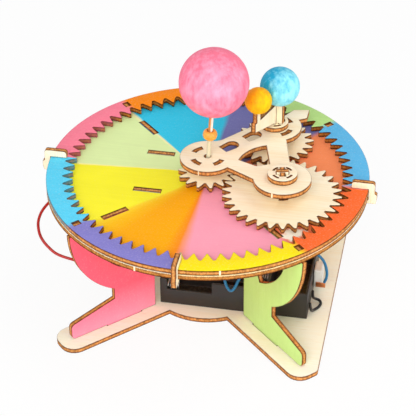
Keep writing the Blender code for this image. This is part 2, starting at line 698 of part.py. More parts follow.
def ring_gap_angle():
    return math.pi / 4


def planet_gap_angle():
    """A tooth of the large gear sits in the ring's gap nearest the planet's direction."""
    pitch = 2 * math.pi / RING_TEETH
    share = share_of_pitch(ring_gap_angle() - PLANET_ANGLE, pitch)
    own_pitch = 2 * math.pi / PLANET_TEETH
    tooth = PLANET_ANGLE + share * own_pitch
    return tooth + own_pitch / 2


def driven_gap_angle(teeth, direction):
    """Gap of a gear that meshes with the large gear, seen from the large gear along direction."""
    planet_pitch = 2 * math.pi / PLANET_TEETH
    tooth = planet_gap_angle() + planet_pitch / 2
    share = share_of_pitch(tooth - direction, planet_pitch)
    return direction + math.pi - share * 2 * math.pi / teeth


def gear_holes(centre_hole):
    slots = [arc_slot((0, 0), GEAR_SLOT_RADIUS, GEAR_SLOT_WIDTH, GEAR_SLOT_TURN + k * math.pi / 2, GEAR_SLOT_SPAN)
             for k in range(4)]
    return [centre_hole] + slots


def make_gear(name, teeth, gap_angle, holes, parent):
    pitch_radius = MODULE * teeth / 2
    outline = gear_outline(teeth, pitch_radius - DEDENDUM * MODULE, pitch_radius + ADDENDUM * MODULE,
                           ROOT_LAND, TIP_LAND, gap_angle)
    sheet(name, [outline] + holes, GEAR_Z, "bare_ply", parent)


# Centre drive: shaft, gear, sleeve, leaning stick, collar and sun

def make_centre_drive():
    pivot = add_pivot("sun_axis", (0, 0))
    shaft_foot = GEARCASE_TOP - GEARCASE_LID - SEAT - GEARCASE_HEIGHT * 0.6
    sleeve_foot = GEAR_TOP + SEAT
    sleeve_top = ARM_Z - SEAT
    joint = (sleeve_foot + sleeve_top) / 2
    shaft_top = joint - SEAT / 2
    rod("drive_shaft", SHAFT_RADIUS, shaft_top - shaft_foot, (0, 0, (shaft_top + shaft_foot) / 2), (0, 0, 1),
        "steel", pivot, sides=16)
    make_gear("sun_gear", SUN_TEETH, driven_gap_angle(SUN_TEETH, PLANET_ANGLE + math.pi),
              [circle((0, 0), SHAFT_RADIUS + SHAFT_FIT, 16)], pivot)
    bore = SHAFT_RADIUS + SHAFT_FIT
    turned_piece("shaft_sleeve", [(SLEEVE_RADIUS, sleeve_top), (SLEEVE_RADIUS, sleeve_foot),
                                  (bore, sleeve_foot), (bore, sleeve_top)], "clear_tube", pivot, steps=20)
    lean = Vector((math.sin(STICK_LEAN) * math.cos(STICK_LEAN_TOWARDS),
                   math.sin(STICK_LEAN) * math.sin(STICK_LEAN_TOWARDS), math.cos(STICK_LEAN)))
    stick_foot = Vector((0, 0, joint + SEAT / 2))
    ball_along = (SUN_BALL_HEIGHT - stick_foot.z) / math.cos(STICK_LEAN)
    stick_length = ball_along - SUN_BALL_RADIUS * (1 - BALL_BORE_DEPTH) - SEAT
    rod("sun_stick", STICK_RADIUS, stick_length, stick_foot + lean * (stick_length / 2), lean, "bamboo", pivot,
        sides=16)
    collar_bore = STICK_RADIUS + SHAFT_FIT
    edge = COLLAR_HEIGHT / 4
    profile = [(COLLAR_RADIUS - edge, COLLAR_HEIGHT), (COLLAR_RADIUS, COLLAR_HEIGHT - edge),
               (COLLAR_RADIUS, edge), (COLLAR_RADIUS - edge, 0.0),
               (collar_bore, 0.0), (collar_bore, COLLAR_HEIGHT)]
    collar = turned_piece("stick_collar", profile, "orange_rubber", pivot, steps=20)
    collar.location = stick_foot + lean * COLLAR_ALONG
    collar.rotation_mode = "QUATERNION"
    collar.rotation_quaternion = Vector((0, 0, 1)).rotation_difference(lean)
    ball("sun_ball", SUN_BALL_RADIUS, tuple(stick_foot + lean * ball_along), "sun_foam", pivot,
         STICK_RADIUS + SHAFT_FIT, lean, 32, 20)


# Carrier arm: three round ends joined by limbs, with a pointer past the earth's end

def concave_join(centre, radius, along, left, half, fillet, steps=5):
    """Fillet between a round end and a limb's edge, ordered from the round end to the edge."""
    out = math.sqrt((radius + fillet) ** 2 - (half + fillet) ** 2)
    middle = centre + along * out + left * (half + fillet)
    to_end = centre - middle
    start = math.atan2(to_end.y, to_end.x)
    sweep = math.atan2(to_end.cross(-left), to_end.dot(-left))
    return arc(middle, fillet, start, start + sweep, steps)


def angle_of(vector):
    return math.atan2(vector[1], vector[0])


def make_arm_outline():
    sun = Vector((0.0, 0.0))
    to_earth = EARTH_AXIS.normalized()
    left = Vector((-to_earth.y, to_earth.x))
    earth_join = concave_join(EARTH_AXIS, ARM_EARTH_BACK, -to_earth, left, LIMB_SUN_EARTH_HALF, LIMB_FILLET)
    sun_join = concave_join(sun, ARM_SUN_RADIUS, to_earth, left, LIMB_SUN_EARTH_HALF, LIMB_FILLET)[::-1]

    sun_corner = PLANET_ANGLE - math.asin(LIMB_AT_SUN_HALF / ARM_SUN_RADIUS)
    planet_corner = PLANET_ANGLE + math.pi + math.asin(LIMB_AT_PLANET_HALF / ARM_PLANET_RADIUS)
    planet_end = EARTH_FROM_PLANET + 2 * math.pi - math.asin(LIMB_PLANET_EARTH_HALF / ARM_PLANET_RADIUS)
    earth_corner = EARTH_FROM_PLANET - math.pi + math.asin(LIMB_PLANET_EARTH_HALF / ARM_EARTH_RADIUS)
    neck = math.asin(POINTER_NECK_HALF / ARM_EARTH_RADIUS)
    back_neck = math.asin(POINTER_NECK_HALF / ARM_EARTH_BACK)
    earth_leave = angle_of(Vector(earth_join[0]) - EARTH_AXIS) % (2 * math.pi)
    sun_enter = angle_of(sun_join[-1])

    points = arc(PLANET_AXIS, ARM_PLANET_RADIUS, planet_corner, planet_end, 30)
    points += arc(EARTH_AXIS, ARM_EARTH_RADIUS, earth_corner, EARTH_ANGLE - neck, 12)
    pointer = [(POINTER_SHOULDER[0], -POINTER_SHOULDER[1]), (POINTER_TIP, 0.0), POINTER_SHOULDER]
    points += turned(pointer, EARTH_ANGLE, EARTH_AXIS)
    points += arc(EARTH_AXIS, ARM_EARTH_BACK, EARTH_ANGLE + back_neck, earth_leave, 16)[:-1]
    points += earth_join + sun_join
    points += arc(sun, ARM_SUN_RADIUS, sun_enter, sun_corner + 2 * math.pi, 26)[1:]
    return points


def arm_eye(start):
    """Bullet shaped hole: a square near end and a round far end, along the limb to the earth."""
    near = ARM_EYE_HALF * 0.85
    round_centre = (start + ARM_EYE_LENGTH - ARM_EYE_HALF, 0.0)
    points = [(start, near), (start, -near)]
    points += arc(round_centre, ARM_EYE_HALF, -math.pi / 2, math.pi / 2, 10)
    return turned(points, EARTH_ANGLE)


def arm_window():
    """Three sided window. Its side towards the earth's limb bows outwards."""
    a, b = Vector(WINDOW_SUN), Vector(WINDOW_EARTH)
    chord = (b - a).length
    radius = (chord * chord / 4 + WINDOW_BULGE ** 2) / (2 * WINDOW_BULGE)
    along = (b - a).normalized()
    inward = Vector((along.y, -along.x))
    middle = (a + b) / 2 + inward * (radius - WINDOW_BULGE)
    start, sweep = angle_of(a - middle), (a - middle).angle_signed(b - middle)
    bow = arc(middle, radius, start, start - sweep, 8)
    return bow + [WINDOW_PLANET, WINDOW_FOOT]


def make_arm(pivot):
    play = math.hypot(AXLE_HALF, PLY / 2) + RUN_PLAY
    holes = [circle((0, 0), ARM_BORE, 20), circle(PLANET_AXIS, play, 24), circle(EARTH_AXIS, play, 24)]
    holes += [arc_slot((0, 0), ARM_SLOT_RADIUS, ARM_SLOT_WIDTH, a, ARM_SLOT_SPAN, 5) for a in ARM_SLOT_ANGLES]
    holes += [arc_slot(EARTH_AXIS, EARTH_SLOT_RADIUS, ARM_SLOT_WIDTH, a, span, 5) for a, span in EARTH_SLOTS]
    holes += [arm_eye(start) for start in ARM_EYE_STARTS]
    holes.append(arm_window())
    sheet("carrier_arm", [make_arm_outline()] + holes, ARM_Z, "bare_ply", pivot)


# Cross axles. Half laps: one strip is slotted from below and the other from above.

def axle_outline(top, slot_from_below, upper=None):
    """Strip through gear, arm and washer. upper replaces the plain top end, as (x, z) points."""
    wide_from = GEAR_TOP + SEAT
    wide_to = ARM_Z - SEAT
    lap = (wide_from + wide_to) / 2
    slot = PLY / 2 + SLOT_PLAY
    right = [(AXLE_HALF, GEAR_Z), (AXLE_HALF, wide_from), (AXLE_SHOULDER, wide_from),
             (AXLE_SHOULDER, wide_to), (AXLE_HALF, wide_to)]
    left = [(-x, z) for x, z in reversed(right)]
    crown = upper if upper else [(AXLE_HALF, top), (-AXLE_HALF, top)]
    if slot_from_below:
        notch = [(-slot, GEAR_Z), (-slot, lap + SEAT / 2), (slot, lap + SEAT / 2), (slot, GEAR_Z)]
        return right + crown + left + notch
    notch = [(slot, top), (slot, lap - SEAT / 2), (-slot, lap - SEAT / 2), (-slot, top)]
    return right + crown[:1] + notch + crown[1:] + left


def washer(name, radius, centre_angle, parent):
    slots = [arc_slot((0, 0), WASHER_SLOT_RADIUS, WASHER_SLOT_WIDTH, centre_angle + math.pi / 4 + k * math.pi / 2,
                      WASHER_SLOT_SPAN) for k in range(4)]
    sheet(name, [circle((0, 0), radius, 36), cross_hole(angle=centre_angle)] + slots, HUB_Z, "bare_ply", parent)


def make_planet(arm_pivot):
    pivot = add_pivot("planet_axis", PLANET_AXIS, arm_pivot)
    turn = PLANET_CROSS_TURN
    make_gear("planet_gear", PLANET_TEETH, planet_gap_angle(), gear_holes(cross_hole(angle=turn)), pivot)
    top = HUB_TOP + AXLE_RISE
    sheet("planet_axle_a", [axle_outline(top, True)], 0.0, "bare_ply", pivot, angle=turn, upright=True)
    sheet("planet_axle_b", [axle_outline(top, False)], 0.0, "bare_ply", pivot, angle=turn + math.pi / 2,
          upright=True)
    washer("planet_washer", PLANET_WASHER_RADIUS, turn, pivot)


# Earth and moon: gear, hub, moon arm and earth post, which cross on the earth's axis

def make_earth_and_moon(arm_pivot):
    pivot = add_pivot("earth_axis", EARTH_AXIS, arm_pivot)
    across = MOON_ANGLE + math.pi / 2
    holes = gear_holes(cross_hole(angle=MOON_ANGLE))
    make_gear("earth_gear", EARTH_TEETH, driven_gap_angle(EARTH_TEETH, EARTH_FROM_PLANET), holes, pivot)
    washer("earth_hub", EARTH_HUB_RADIUS, MOON_ANGLE, pivot)

    arm_foot = HUB_TOP + SEAT
    arm_top = HUB_TOP + MOON_ARM_TOP
    post_inner = MOON_POST_OUTER - MOON_POST_WIDTH
    moon_upper = [(AXLE_HALF, arm_foot), (MOON_ARM_REACH, arm_top - MOON_ARM_TIP_DEPTH),
                  (MOON_ARM_REACH, arm_top), (MOON_POST_OUTER, arm_top),
                  (MOON_POST_OUTER, HUB_TOP + MOON_POST_TOP), (post_inner, HUB_TOP + MOON_POST_TOP),
                  (post_inner, arm_top), (-AXLE_HALF, arm_top)]
    sheet("moon_arm", [axle_outline(arm_top, True, moon_upper)], 0.0, "bare_ply", pivot, angle=MOON_ANGLE,
          upright=True)

    slot = PLY / 2 + SLOT_PLAY
    post_top = HUB_TOP + EARTH_POST_TOP
    cheek_top = HUB_TOP + EARTH_CHEEK_TOP
    lap = (GEAR_TOP + ARM_Z) / 2
    outline = [(AXLE_HALF, GEAR_Z), (AXLE_HALF, GEAR_TOP + SEAT), (AXLE_SHOULDER, GEAR_TOP + SEAT),
               (AXLE_SHOULDER, ARM_Z - SEAT), (AXLE_HALF, ARM_Z - SEAT), (AXLE_HALF, arm_foot),
               (EARTH_POST_REACH, arm_foot), (EARTH_POST_REACH, post_top), (slot, post_top),
               (slot, lap - SEAT / 2), (-slot, lap - SEAT / 2), (-slot, cheek_top),
               (-EARTH_CHEEK_REACH, cheek_top), (-EARTH_CHEEK_REACH, arm_foot), (-AXLE_HALF, arm_foot),
               (-AXLE_HALF, ARM_Z - SEAT), (-AXLE_SHOULDER, ARM_Z - SEAT), (-AXLE_SHOULDER, GEAR_TOP + SEAT),
               (-AXLE_HALF, GEAR_TOP + SEAT), (-AXLE_HALF, GEAR_Z)]
    sheet("earth_post", [outline], 0.0, "bare_ply", pivot, angle=across, upright=True)

    along = Vector((math.cos(MOON_ANGLE), math.sin(MOON_ANGLE), 0.0))
    side = Vector((math.cos(across), math.sin(across), 0.0))
    post_middle = (slot + EARTH_POST_REACH) / 2
    post_half = math.hypot(EARTH_POST_REACH - slot, PLY) / 2
    earth_centre = side * (post_middle - EARTH_BALL_OFF) + Vector((0, 0, HUB_TOP + EARTH_BALL_RISE))
    ball("earth_ball", EARTH_BALL_RADIUS, tuple(earth_centre), "earth_foam", pivot, post_half + SEAT,
         (0, 0, 1), 28, 18, side * EARTH_BALL_OFF)
    moon_middle = MOON_POST_OUTER - MOON_POST_WIDTH / 2
    moon_centre = along * (moon_middle - MOON_BALL_OFF) + Vector((0, 0, HUB_TOP + MOON_BALL_RISE))
    moon_half = math.hypot(MOON_POST_WIDTH, PLY) / 2
    ball("moon_ball", MOON_BALL_RADIUS, tuple(moon_centre), "moon_foam", pivot, moon_half + SEAT,
         (0, 0, 1), 24, 16, along * MOON_BALL_OFF)


# Geared motor, hung from the table between two bracket plates

def make_brackets():
    top = LEG_TOP_Z
    foot = top - BRACKET_DEPTH
    corners = [(-BRACKET_HALF, top, 0.0), (-BRACKET_HALF, top - BRACKET_DEPTH * 0.35, BRACKET_ROUND),
               (-GEARCASE_LENGTH / 2, foot, BRACKET_ROUND), (GEARCASE_LENGTH / 2, foot, BRACKET_ROUND),
               (BRACKET_HALF, top - BRACKET_DEPTH * 0.35, BRACKET_ROUND), (BRACKET_HALF, top, 0.0)]
    for x in (BRACKET_TAB[1], -BRACKET_TAB[0]):
        width = BRACKET_TAB[1] - BRACKET_TAB[0]
        corners += [(x, top, 0.0), (x, TABLE_TOP, 0.0), (x - width, TABLE_TOP, 0.0), (x - width, top, 0.0)]
    holes = [circle((side * SCREW_X, MOTOR_Z), SCREW_SHANK + SEAT, 12) for side in (-1, 1)]
    for name, side in (("motor_bracket_front", -1), ("motor_bracket_back", 1)):
        sheet(name, [rounded(corners)] + holes, 0.0, "bare_ply", at=(0.0, side * BRACKET_Y), upright=True)


def make_gear_motor():
    case_top = GEARCASE_TOP - GEARCASE_LID - SEAT
    case = block("gear_housing", (GEARCASE_LENGTH, 2 * GEARCASE_HALF_Y, GEARCASE_HEIGHT),
                 (0, 0, case_top - GEARCASE_HEIGHT / 2), "yellow_plastic", bevel=GEARCASE_ROUND)
    lid = block("gear_housing_lid", (GEARCASE_LENGTH, 2 * GEARCASE_HALF_Y, GEARCASE_LID),
                (0, 0, GEARCASE_TOP - GEARCASE_LID / 2), "yellow_plastic")
    boss_height = GEARCASE_LID / 2 + GEARCASE_DROP - SEAT
    boss = rod("boss", BOSS_RADIUS, boss_height, (0, 0, GEARCASE_TOP - GEARCASE_LID / 2 + boss_height / 2),
               (0, 0, 1), None, sides=24, group=CUTTERS)
    cut(lid, boss, "UNION")
    shaft_foot = case_top - GEARCASE_HEIGHT * 0.6
    bore_length = TABLE_Z - shaft_foot + 2 * SEAT
    bore = rod("shaft_bore", SHAFT_RADIUS + SHAFT_FIT, bore_length, (0, 0, shaft_foot - SEAT + bore_length / 2),
               (0, 0, 1), None, sides=16, group=CUTTERS)
    cut(case, bore)
    cut(lid, bore)
    head_face = BRACKET_Y + PLY / 2 + SEAT
    tip = GEARCASE_HALF_Y - SCREW_DEPTH
    make_screws(case, tip, head_face)
    can_end = -GEARCASE_LENGTH / 2 - SEAT
    rod("motor_can", MOTOR_RADIUS, MOTOR_LENGTH, (can_end - MOTOR_LENGTH / 2, 0, MOTOR_Z), (1, 0, 0), "steel",
        sides=28)
    cap_end = can_end - MOTOR_LENGTH - SEAT
    rod("motor_end_cap", MOTOR_RADIUS - MOTOR_CAP_STEP, MOTOR_CAP_LENGTH,
        (cap_end - MOTOR_CAP_LENGTH / 2, 0, MOTOR_Z), (1, 0, 0), "white_plastic", sides=28)
    tab_x = cap_end - MOTOR_CAP_LENGTH - SEAT - MOTOR_TAB[0] / 2
    for number, side in enumerate((-1, 1), 1):
        block(f"motor_terminal_{number}", MOTOR_TAB, (tab_x, side * MOTOR_TAB_Y, MOTOR_Z), "copper")


def make_screws(case, tip, head_face):
    """Four screws through the brackets into the housing, each in its own blind hole."""
    shank_length = head_face - tip
    hole_length = SCREW_DEPTH + 2 * SEAT
    profile = [(0.0, SCREW_HEAD_HEIGHT), (SCREW_HEAD, SCREW_HEAD_HEIGHT), (SCREW_HEAD, 0.0),
               (SCREW_SHANK, 0.0), (SCREW_SHANK, -shank_length), (0.0, -shank_length)]
    places = [(side, end * SCREW_X) for side in (-1, 1) for end in (-1, 1)]
    for number, (side, x) in enumerate(places, 1):
        hole = rod(f"screw_hole_{number}", SCREW_SHANK + SEAT, hole_length,
                   (x, side * (tip - SEAT + hole_length / 2), MOTOR_Z), (0, 1, 0), None, sides=12, group=CUTTERS)
        cut(case, hole)
        screw = turned_piece(f"motor_screw_{number}", profile, "steel", steps=12)
        screw.location = (x, side * head_face, MOTOR_Z)
        screw.rotation_euler = (-side * math.pi / 2, 0.0, 0.0)


# Battery tray: open box with a trough for each cell, a wiring bay and a low front sill

def make_tray():
    middle_x = TRAY_LEFT + TRAY_LENGTH / 2
    tray = block("battery_tray", (TRAY_LENGTH, TRAY_DEPTH, TRAY_HEIGHT),
                 (middle_x, 0, TRAY_Z + TRAY_HEIGHT / 2), "black_plastic")
    top = TRAY_Z + TRAY_HEIGHT
    over = TRAY_WALL
    rib_cover = SEAT
    bay_left = TRAY_LEFT + TRAY_WALL
    bay_right = bay_left + CELL_BAY
    inner = TRAY_DEPTH - 2 * TRAY_WALL
    rib_top = TRAY_Z + TRAY_FLOOR + CELL_RIB_HEIGHT

    def pocket(name, x0, x1, y0, y1, z0, z1):
        tool = block(name, (x1 - x0, y1 - y0, z1 - z0), ((x0 + x1) / 2, (y0 + y1) / 2, (z0 + z1) / 2), None,
                     group=CUTTERS)
        cut(tray, tool)

    pocket("bay", bay_left, bay_right, -inner / 2, inner / 2, rib_top, top + over)
    for k in range(CELL_COUNT):
        y0 = -inner / 2 + k * (CELL_TROUGH + CELL_RIB)
        pocket(f"trough_{k}", bay_left, bay_right, y0, y0 + CELL_TROUGH, TRAY_Z + TRAY_FLOOR, rib_top + rib_cover)
    pocket("wiring_bay", bay_right + TRAY_WALL, TRAY_RIGHT - TRAY_WALL, -inner / 2, inner / 2,
           TRAY_Z + TRAY_FLOOR, top + over)
    pocket("front_notch", TRAY_NOTCH[0], TRAY_NOTCH[1], -TRAY_DEPTH / 2 - over, -inner / 2 + rib_cover,
           TRAY_Z + TRAY_NOTCH_SILL, top + over)
    make_contacts(bay_left, bay_right, inner)


def make_contacts(bay_left, bay_right, inner):
    """A plate at both ends of each cell and a spring at alternate ends."""
    z = TRAY_Z + TRAY_FLOOR + SEAT + CONTACT_SIZE[2] / 2
    left_x = bay_left + SEAT + CONTACT_SIZE[0] / 2
    right_x = bay_right - SEAT - CONTACT_SIZE[0] / 2
    spring_gap = CONTACT_SIZE[0] / 2 + SEAT
    for k in range(CELL_COUNT):
        y = -inner / 2 + CELL_TROUGH / 2 + k * (CELL_TROUGH + CELL_RIB)
        block(f"contact_plate_left_{k + 1}", CONTACT_SIZE, (left_x, y, z), "steel")
        block(f"contact_plate_right_{k + 1}", CONTACT_SIZE, (right_x, y, z), "steel")
        if k % 2 == 0:
            make_spring(f"contact_spring_{k + 1}", left_x + spring_gap, y, z, 1)
        else:
            make_spring(f"contact_spring_{k + 1}", right_x - spring_gap, y, z, -1)


def make_spring(name, x, y, z, facing):
    """Coil spring that narrows towards the cell, wound as one unbroken wire."""
    count = int(SPRING_TURNS * SPRING_POINTS_PER_TURN)
    points = []
    for i in range(count + 1):
        share = i / count
        turn = 2 * math.pi * SPRING_TURNS * share
        radius = SPRING_RADIUS + (SPRING_TIP_RADIUS - SPRING_RADIUS) * share
        points.append((x + facing * (SPRING_WIRE + share * (SPRING_LENGTH - 2 * SPRING_WIRE)),
                       y + radius * math.cos(turn), z + radius * math.sin(turn)))
    tube(name, points, SPRING_WIRE, "steel", resolution=1)


def make_terminals():
    x = TRAY_RIGHT + SEAT + BLOCK_SIZE[0] / 2
    foot = TRAY_Z + BLOCK_LIFT
    middle = (x, BLOCK_Y, foot + BLOCK_SIZE[2] / 2)
    block("terminal_block", BLOCK_SIZE, middle, "white_plastic", bevel=BLOCK_ROUND)
    lug_x = x + BLOCK_SIZE[0] / 2 - LUG_INSET
    lug_y = BLOCK_Y - BLOCK_SIZE[1] / 2 - SEAT - LUG_SIZE[1] / 2
    block("terminal_lug", LUG_SIZE, (lug_x, lug_y, foot + LUG_LIFT + LUG_SIZE[2] / 2), "copper")


# Rim clips: open jaws that clamp the ring on the table

def make_rim_clips():
    under = TABLE_Z - SEAT
    over = RING_TOP + SEAT
    wall = TABLE_RADIUS + SEAT
    outer = wall + CLIP_OUTER_WALL
    top = over + CLIP_TOP_BAR
    foot = under - CLIP_JAW
    inner = TABLE_RADIUS - CLIP_REACH
    corners = [(inner, over, 0.0), (wall, over, 0.0), (wall, under, 0.0),
               (wall - CLIP_JAW_REACH, under, 0.0), (wall - CLIP_JAW_REACH, foot, 0.0),
               (outer + CLIP_THUMB * 0.6, foot, CLIP_TOE_ROUND),
               (outer + CLIP_THUMB, foot + CLIP_THUMB_HEIGHT, 0.0),
               (outer + CLIP_THUMB, TABLE_TOP, 0.0), (outer, TABLE_TOP + CLIP_STEP, 0.0),
               (outer, top, CLIP_CORNER_ROUND), (inner, top, CLIP_CORNER_ROUND)]
    for name, degrees in CLIP_ANGLES.items():
        sheet(name, [rounded(corners)], 0.0, "bare_ply", angle=math.radians(degrees), upright=True)


def make_leads():
    for name, route, colour in (("red_lead", RED_ROUTE, "red_lead"), ("blue_lead", BLUE_ROUTE, "blue_lead"),
                                ("black_lead", BLACK_ROUTE, "black_lead")):
        tube(name, smooth_route(route, LEAD_STEP), LEAD_RADIUS, colour)


make_base_plate()
make_legs()
make_table()
make_toothed_ring()
make_rim_clips()
make_tray()
make_terminals()
make_brackets()
make_gear_motor()
make_leads()
make_centre_drive()
orbit_pivot = add_pivot("orbit_axis", (0, 0))
make_arm(orbit_pivot)
make_planet(orbit_pivot)
make_earth_and_moon(orbit_pivot)
bpy.context.view_layer.update()
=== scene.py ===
"""Looks of the motor driven sun, earth and moon model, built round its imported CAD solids."""

from functools import partial
from math import cos, pi, radians, sin, tan

import bmesh
import bpy
import numpy as np
from mathutils import Matrix, Vector


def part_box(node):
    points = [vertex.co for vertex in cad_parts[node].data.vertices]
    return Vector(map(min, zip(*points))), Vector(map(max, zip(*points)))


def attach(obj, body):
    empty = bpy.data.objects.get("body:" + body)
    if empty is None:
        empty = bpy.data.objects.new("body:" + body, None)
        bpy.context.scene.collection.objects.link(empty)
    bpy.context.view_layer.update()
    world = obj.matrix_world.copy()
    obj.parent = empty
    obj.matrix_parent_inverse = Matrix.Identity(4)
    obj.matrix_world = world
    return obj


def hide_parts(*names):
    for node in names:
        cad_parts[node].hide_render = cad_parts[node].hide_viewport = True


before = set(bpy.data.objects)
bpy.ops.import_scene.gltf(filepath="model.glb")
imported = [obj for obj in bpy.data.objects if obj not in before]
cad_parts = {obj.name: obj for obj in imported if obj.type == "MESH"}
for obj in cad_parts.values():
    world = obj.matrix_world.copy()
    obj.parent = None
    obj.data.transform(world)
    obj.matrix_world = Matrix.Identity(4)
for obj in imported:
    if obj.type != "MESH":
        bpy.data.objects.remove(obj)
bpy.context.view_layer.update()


# Camera
# Long lens from the front and a little to the right, looking down on the table, as in the photograph.

def in_scene(name, data):
    """New object, put in the scene."""
    made = bpy.data.objects.new(name, data)
    bpy.context.scene.collection.objects.link(made)
    return made


camera_data = bpy.data.cameras.new("camera")
camera_data.lens = 146.31
camera_data.sensor_width = 36.0
camera_data.clip_end = 20.0
camera = in_scene("camera", camera_data)
camera.location = (0.14386, -0.74008, 0.59964)
camera.rotation_euler = (0.94401, 0.00509, 0.188256)
bpy.context.scene.camera = camera
bpy.context.scene.view_settings.view_transform = "Standard"


# Leads
# Three soft stranded wires in thin plastic, 1.6 mm across. Red and blue run from the motor's terminals to the
# battery tray and to the lug beside it; the short black one curls out of the tray's end wall and back to it.

LEAD_WIDTH = 0.0016
LEAD_STEP = 0.0008  # between the points of a lead
ROUTE_STEPS = 24  # fine steps from one point of a route to the next


def even_points(route, step):
    """Evenly spaced points on a smooth curve through the route's points, given in millimetres."""
    knots = [Vector(p) * 0.001 for p in route]
    knots = [2 * knots[0] - knots[1]] + knots + [2 * knots[-1] - knots[-2]]
    fine = []
    for a, b, c, d in zip(knots, knots[1:], knots[2:], knots[3:]):
        for t in np.linspace(0.0, 1.0, ROUTE_STEPS, endpoint=False):
            fine.append(0.5 * (2 * b + (c - a) * t + (2 * a - 5 * b + 4 * c - d) * t * t
                               + (3 * b - a - 3 * c + d) * t ** 3))
    fine.append(knots[-2])
    lengths = np.concatenate([[0.0], np.cumsum([(q - p).length for p, q in zip(fine, fine[1:])])])
    table = np.array([tuple(p) for p in fine])
    marks = np.linspace(0.0, lengths[-1], max(2, round(lengths[-1] / step)) + 1)
    points = np.stack([np.interp(marks, lengths, table[:, k]) for k in range(3)], axis=1)
    return points, float(np.linalg.norm(np.diff(points, axis=0), axis=1).sum())


def stands_for(piece, body, slot, *nodes):
    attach(piece, body)
    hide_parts(*nodes)
    return piece


def rgb(red, green, blue):
    """Colour seen on a screen, 0 to 255, as the values that a shader takes."""
    shares = [c / 255 for c in (red, green, blue)]
    return (*[s / 12.92 if s <= 0.04045 else ((s + 0.055) / 1.055) ** 2.4 for s in shares], 1.0)


def add_node(beside, kind, values=None, **settings):
    """Adds a node to a tree, or beside a socket, and gives its outputs. A value that is a socket is linked, as is
    each one in a list, and any other value is set."""
    tree = beside.id_data
    made = tree.nodes.new(kind if "Node" in kind else "ShaderNode" + kind)
    for key, value in settings.items():
        setattr(made, key, value)
    for key, value in (values or {}).items():
        if isinstance(value, (list, bpy.types.NodeSocket)):
            for source in value if isinstance(value, list) else [value]:
                tree.links.new(source, made.inputs[key])
        else:
            made.inputs[key].default_value = value
    return made.outputs


def add_group(tree, group, values):
    return add_node(tree, "Group", values, node_tree=group)


def calc(operation, *values):
    beside = next(value for value in values if isinstance(value, bpy.types.NodeSocket))
    return add_node(beside, "Math", dict(enumerate(values)), operation=operation)[0]


plus, minus, times, times_plus = (partial(calc, operation)
                                  for operation in ("ADD", "SUBTRACT", "MULTIPLY", "MULTIPLY_ADD"))


def vector_calc(operation, vector, other):
    made = add_node(vector, "VectorMath", {0: vector, 1: other}, operation=operation)
    return made["Value" if operation in ("LENGTH", "DISTANCE", "DOT_PRODUCT") else "Vector"]


def scaled(vector, factor):
    return add_node(vector, "VectorMath", {0: vector, "Scale": factor}, operation="SCALE")[0]


def mapped(value, low, high, to_low=0.0, to_high=1.0, **settings):
    """Carries a value from the range low to high over to another range, and holds it at the ends."""
    return add_node(value, "MapRange", {"Value": value, "From Min": low, "From Max": high, "To Min": to_low,
                                        "To Max": to_high}, **settings)[0]


def noise(place, scale, detail, distortion=0.0, stretch=None):
    """Cloudy pattern from 0 to 1. stretch makes it finer along X, Y and Z."""
    if stretch:
        place = add_node(place, "Mapping", {"Vector": place, "Scale": stretch})[0]
    return add_node(place, "TexNoise", {"Vector": place, "Scale": scale, "Detail": detail,
                                        "Distortion": distortion})["Fac"]


def object_place(tree):
    return add_node(tree, "TexCoord")["Object"]


def new_group(name, inputs):
    """Shader node group with named inputs, which are numbers, vectors or colours, and their sockets."""
    tree = bpy.data.node_groups.new(name, "ShaderNodeTree")
    for label, value in inputs.items():
        kind = "Float" if isinstance(value, float) else "Vector" if len(value) == 3 else "Color"
        tree.interface.new_socket(label, in_out="INPUT", socket_type="NodeSocket" + kind).default_value = value
    return tree, tree.nodes.new("NodeGroupInput").outputs


def end_group(tree, **results):
    for label in results:
        kind = "Color" if label == "Colour" else "Float"
        tree.interface.new_socket(label, in_out="OUTPUT", socket_type="NodeSocket" + kind)
    add_node(tree, "NodeGroupOutput", results)
    return tree


def mottle_group():
    """Uneven colour and surface of moulded or dipped plastic, rubber and enamel."""
    tree, given = new_group("mottle", {"Colour": (0.5, 0.5, 0.5, 1.0), "Scale": 300.0, "Amount": 0.15,
                                       "Roughness": 0.45})
    place = object_place(tree)
    low, high = minus(1.0, given["Amount"]), plus(1.0, given["Amount"])
    tone = mapped(noise(place, given["Scale"], 3.0), 0.3, 0.7, low, high)
    return end_group(tree, Colour=scaled(given["Colour"], tone), Roughness=times(given["Roughness"], tone),
                     Height=noise(place, 4200.0, 1.0))


MOTTLE = mottle_group()


def new_material(name, roughness, metallic=0.0, specular=0.5):
    """Material, its tree and its shader's sockets, on which a value that is the same all over is set."""
    material = bpy.data.materials.new(name)
    material.use_nodes = True
    shader = material.node_tree.nodes["Principled BSDF"].inputs
    for label, value in (("Roughness", roughness), ("Metallic", metallic), ("Specular IOR Level", specular)):
        shader[label].default_value = value
    return material, material.node_tree, shader


def dress(tree, shader, depth, colour, height, roughness=None):
    """Links a surface's colour, relief of a given depth and, where it varies, roughness to its shader."""
    relief = add_node(tree, "Bump", {"Height": height, "Distance": depth, "Strength": 1.0})["Normal"]
    for label, socket in (("Base Color", colour), ("Normal", relief), ("Roughness", roughness)):
        if socket is not None:
            tree.links.new(socket, shader[label])


def dress_with(tree, shader, depth, group, values):
    skin = add_group(tree, group, values)
    dress(tree, shader, depth, skin["Colour"], skin["Height"], skin["Roughness"])


def mottled(name, colour, roughness, amount, scale, depth=0.00001, soft=None):
    """Plastic or rubber. soft is the share of light that sinks in, and how deep its red, green and blue go."""
    material, tree, shader = new_material(name, roughness)
    dress_with(tree, shader, depth, MOTTLE, {"Colour": colour, "Amount": amount, "Scale": scale,
                                             "Roughness": roughness})
    if soft:
        shader["Subsurface Weight"].default_value, shader["Subsurface Radius"].default_value = soft
    return material


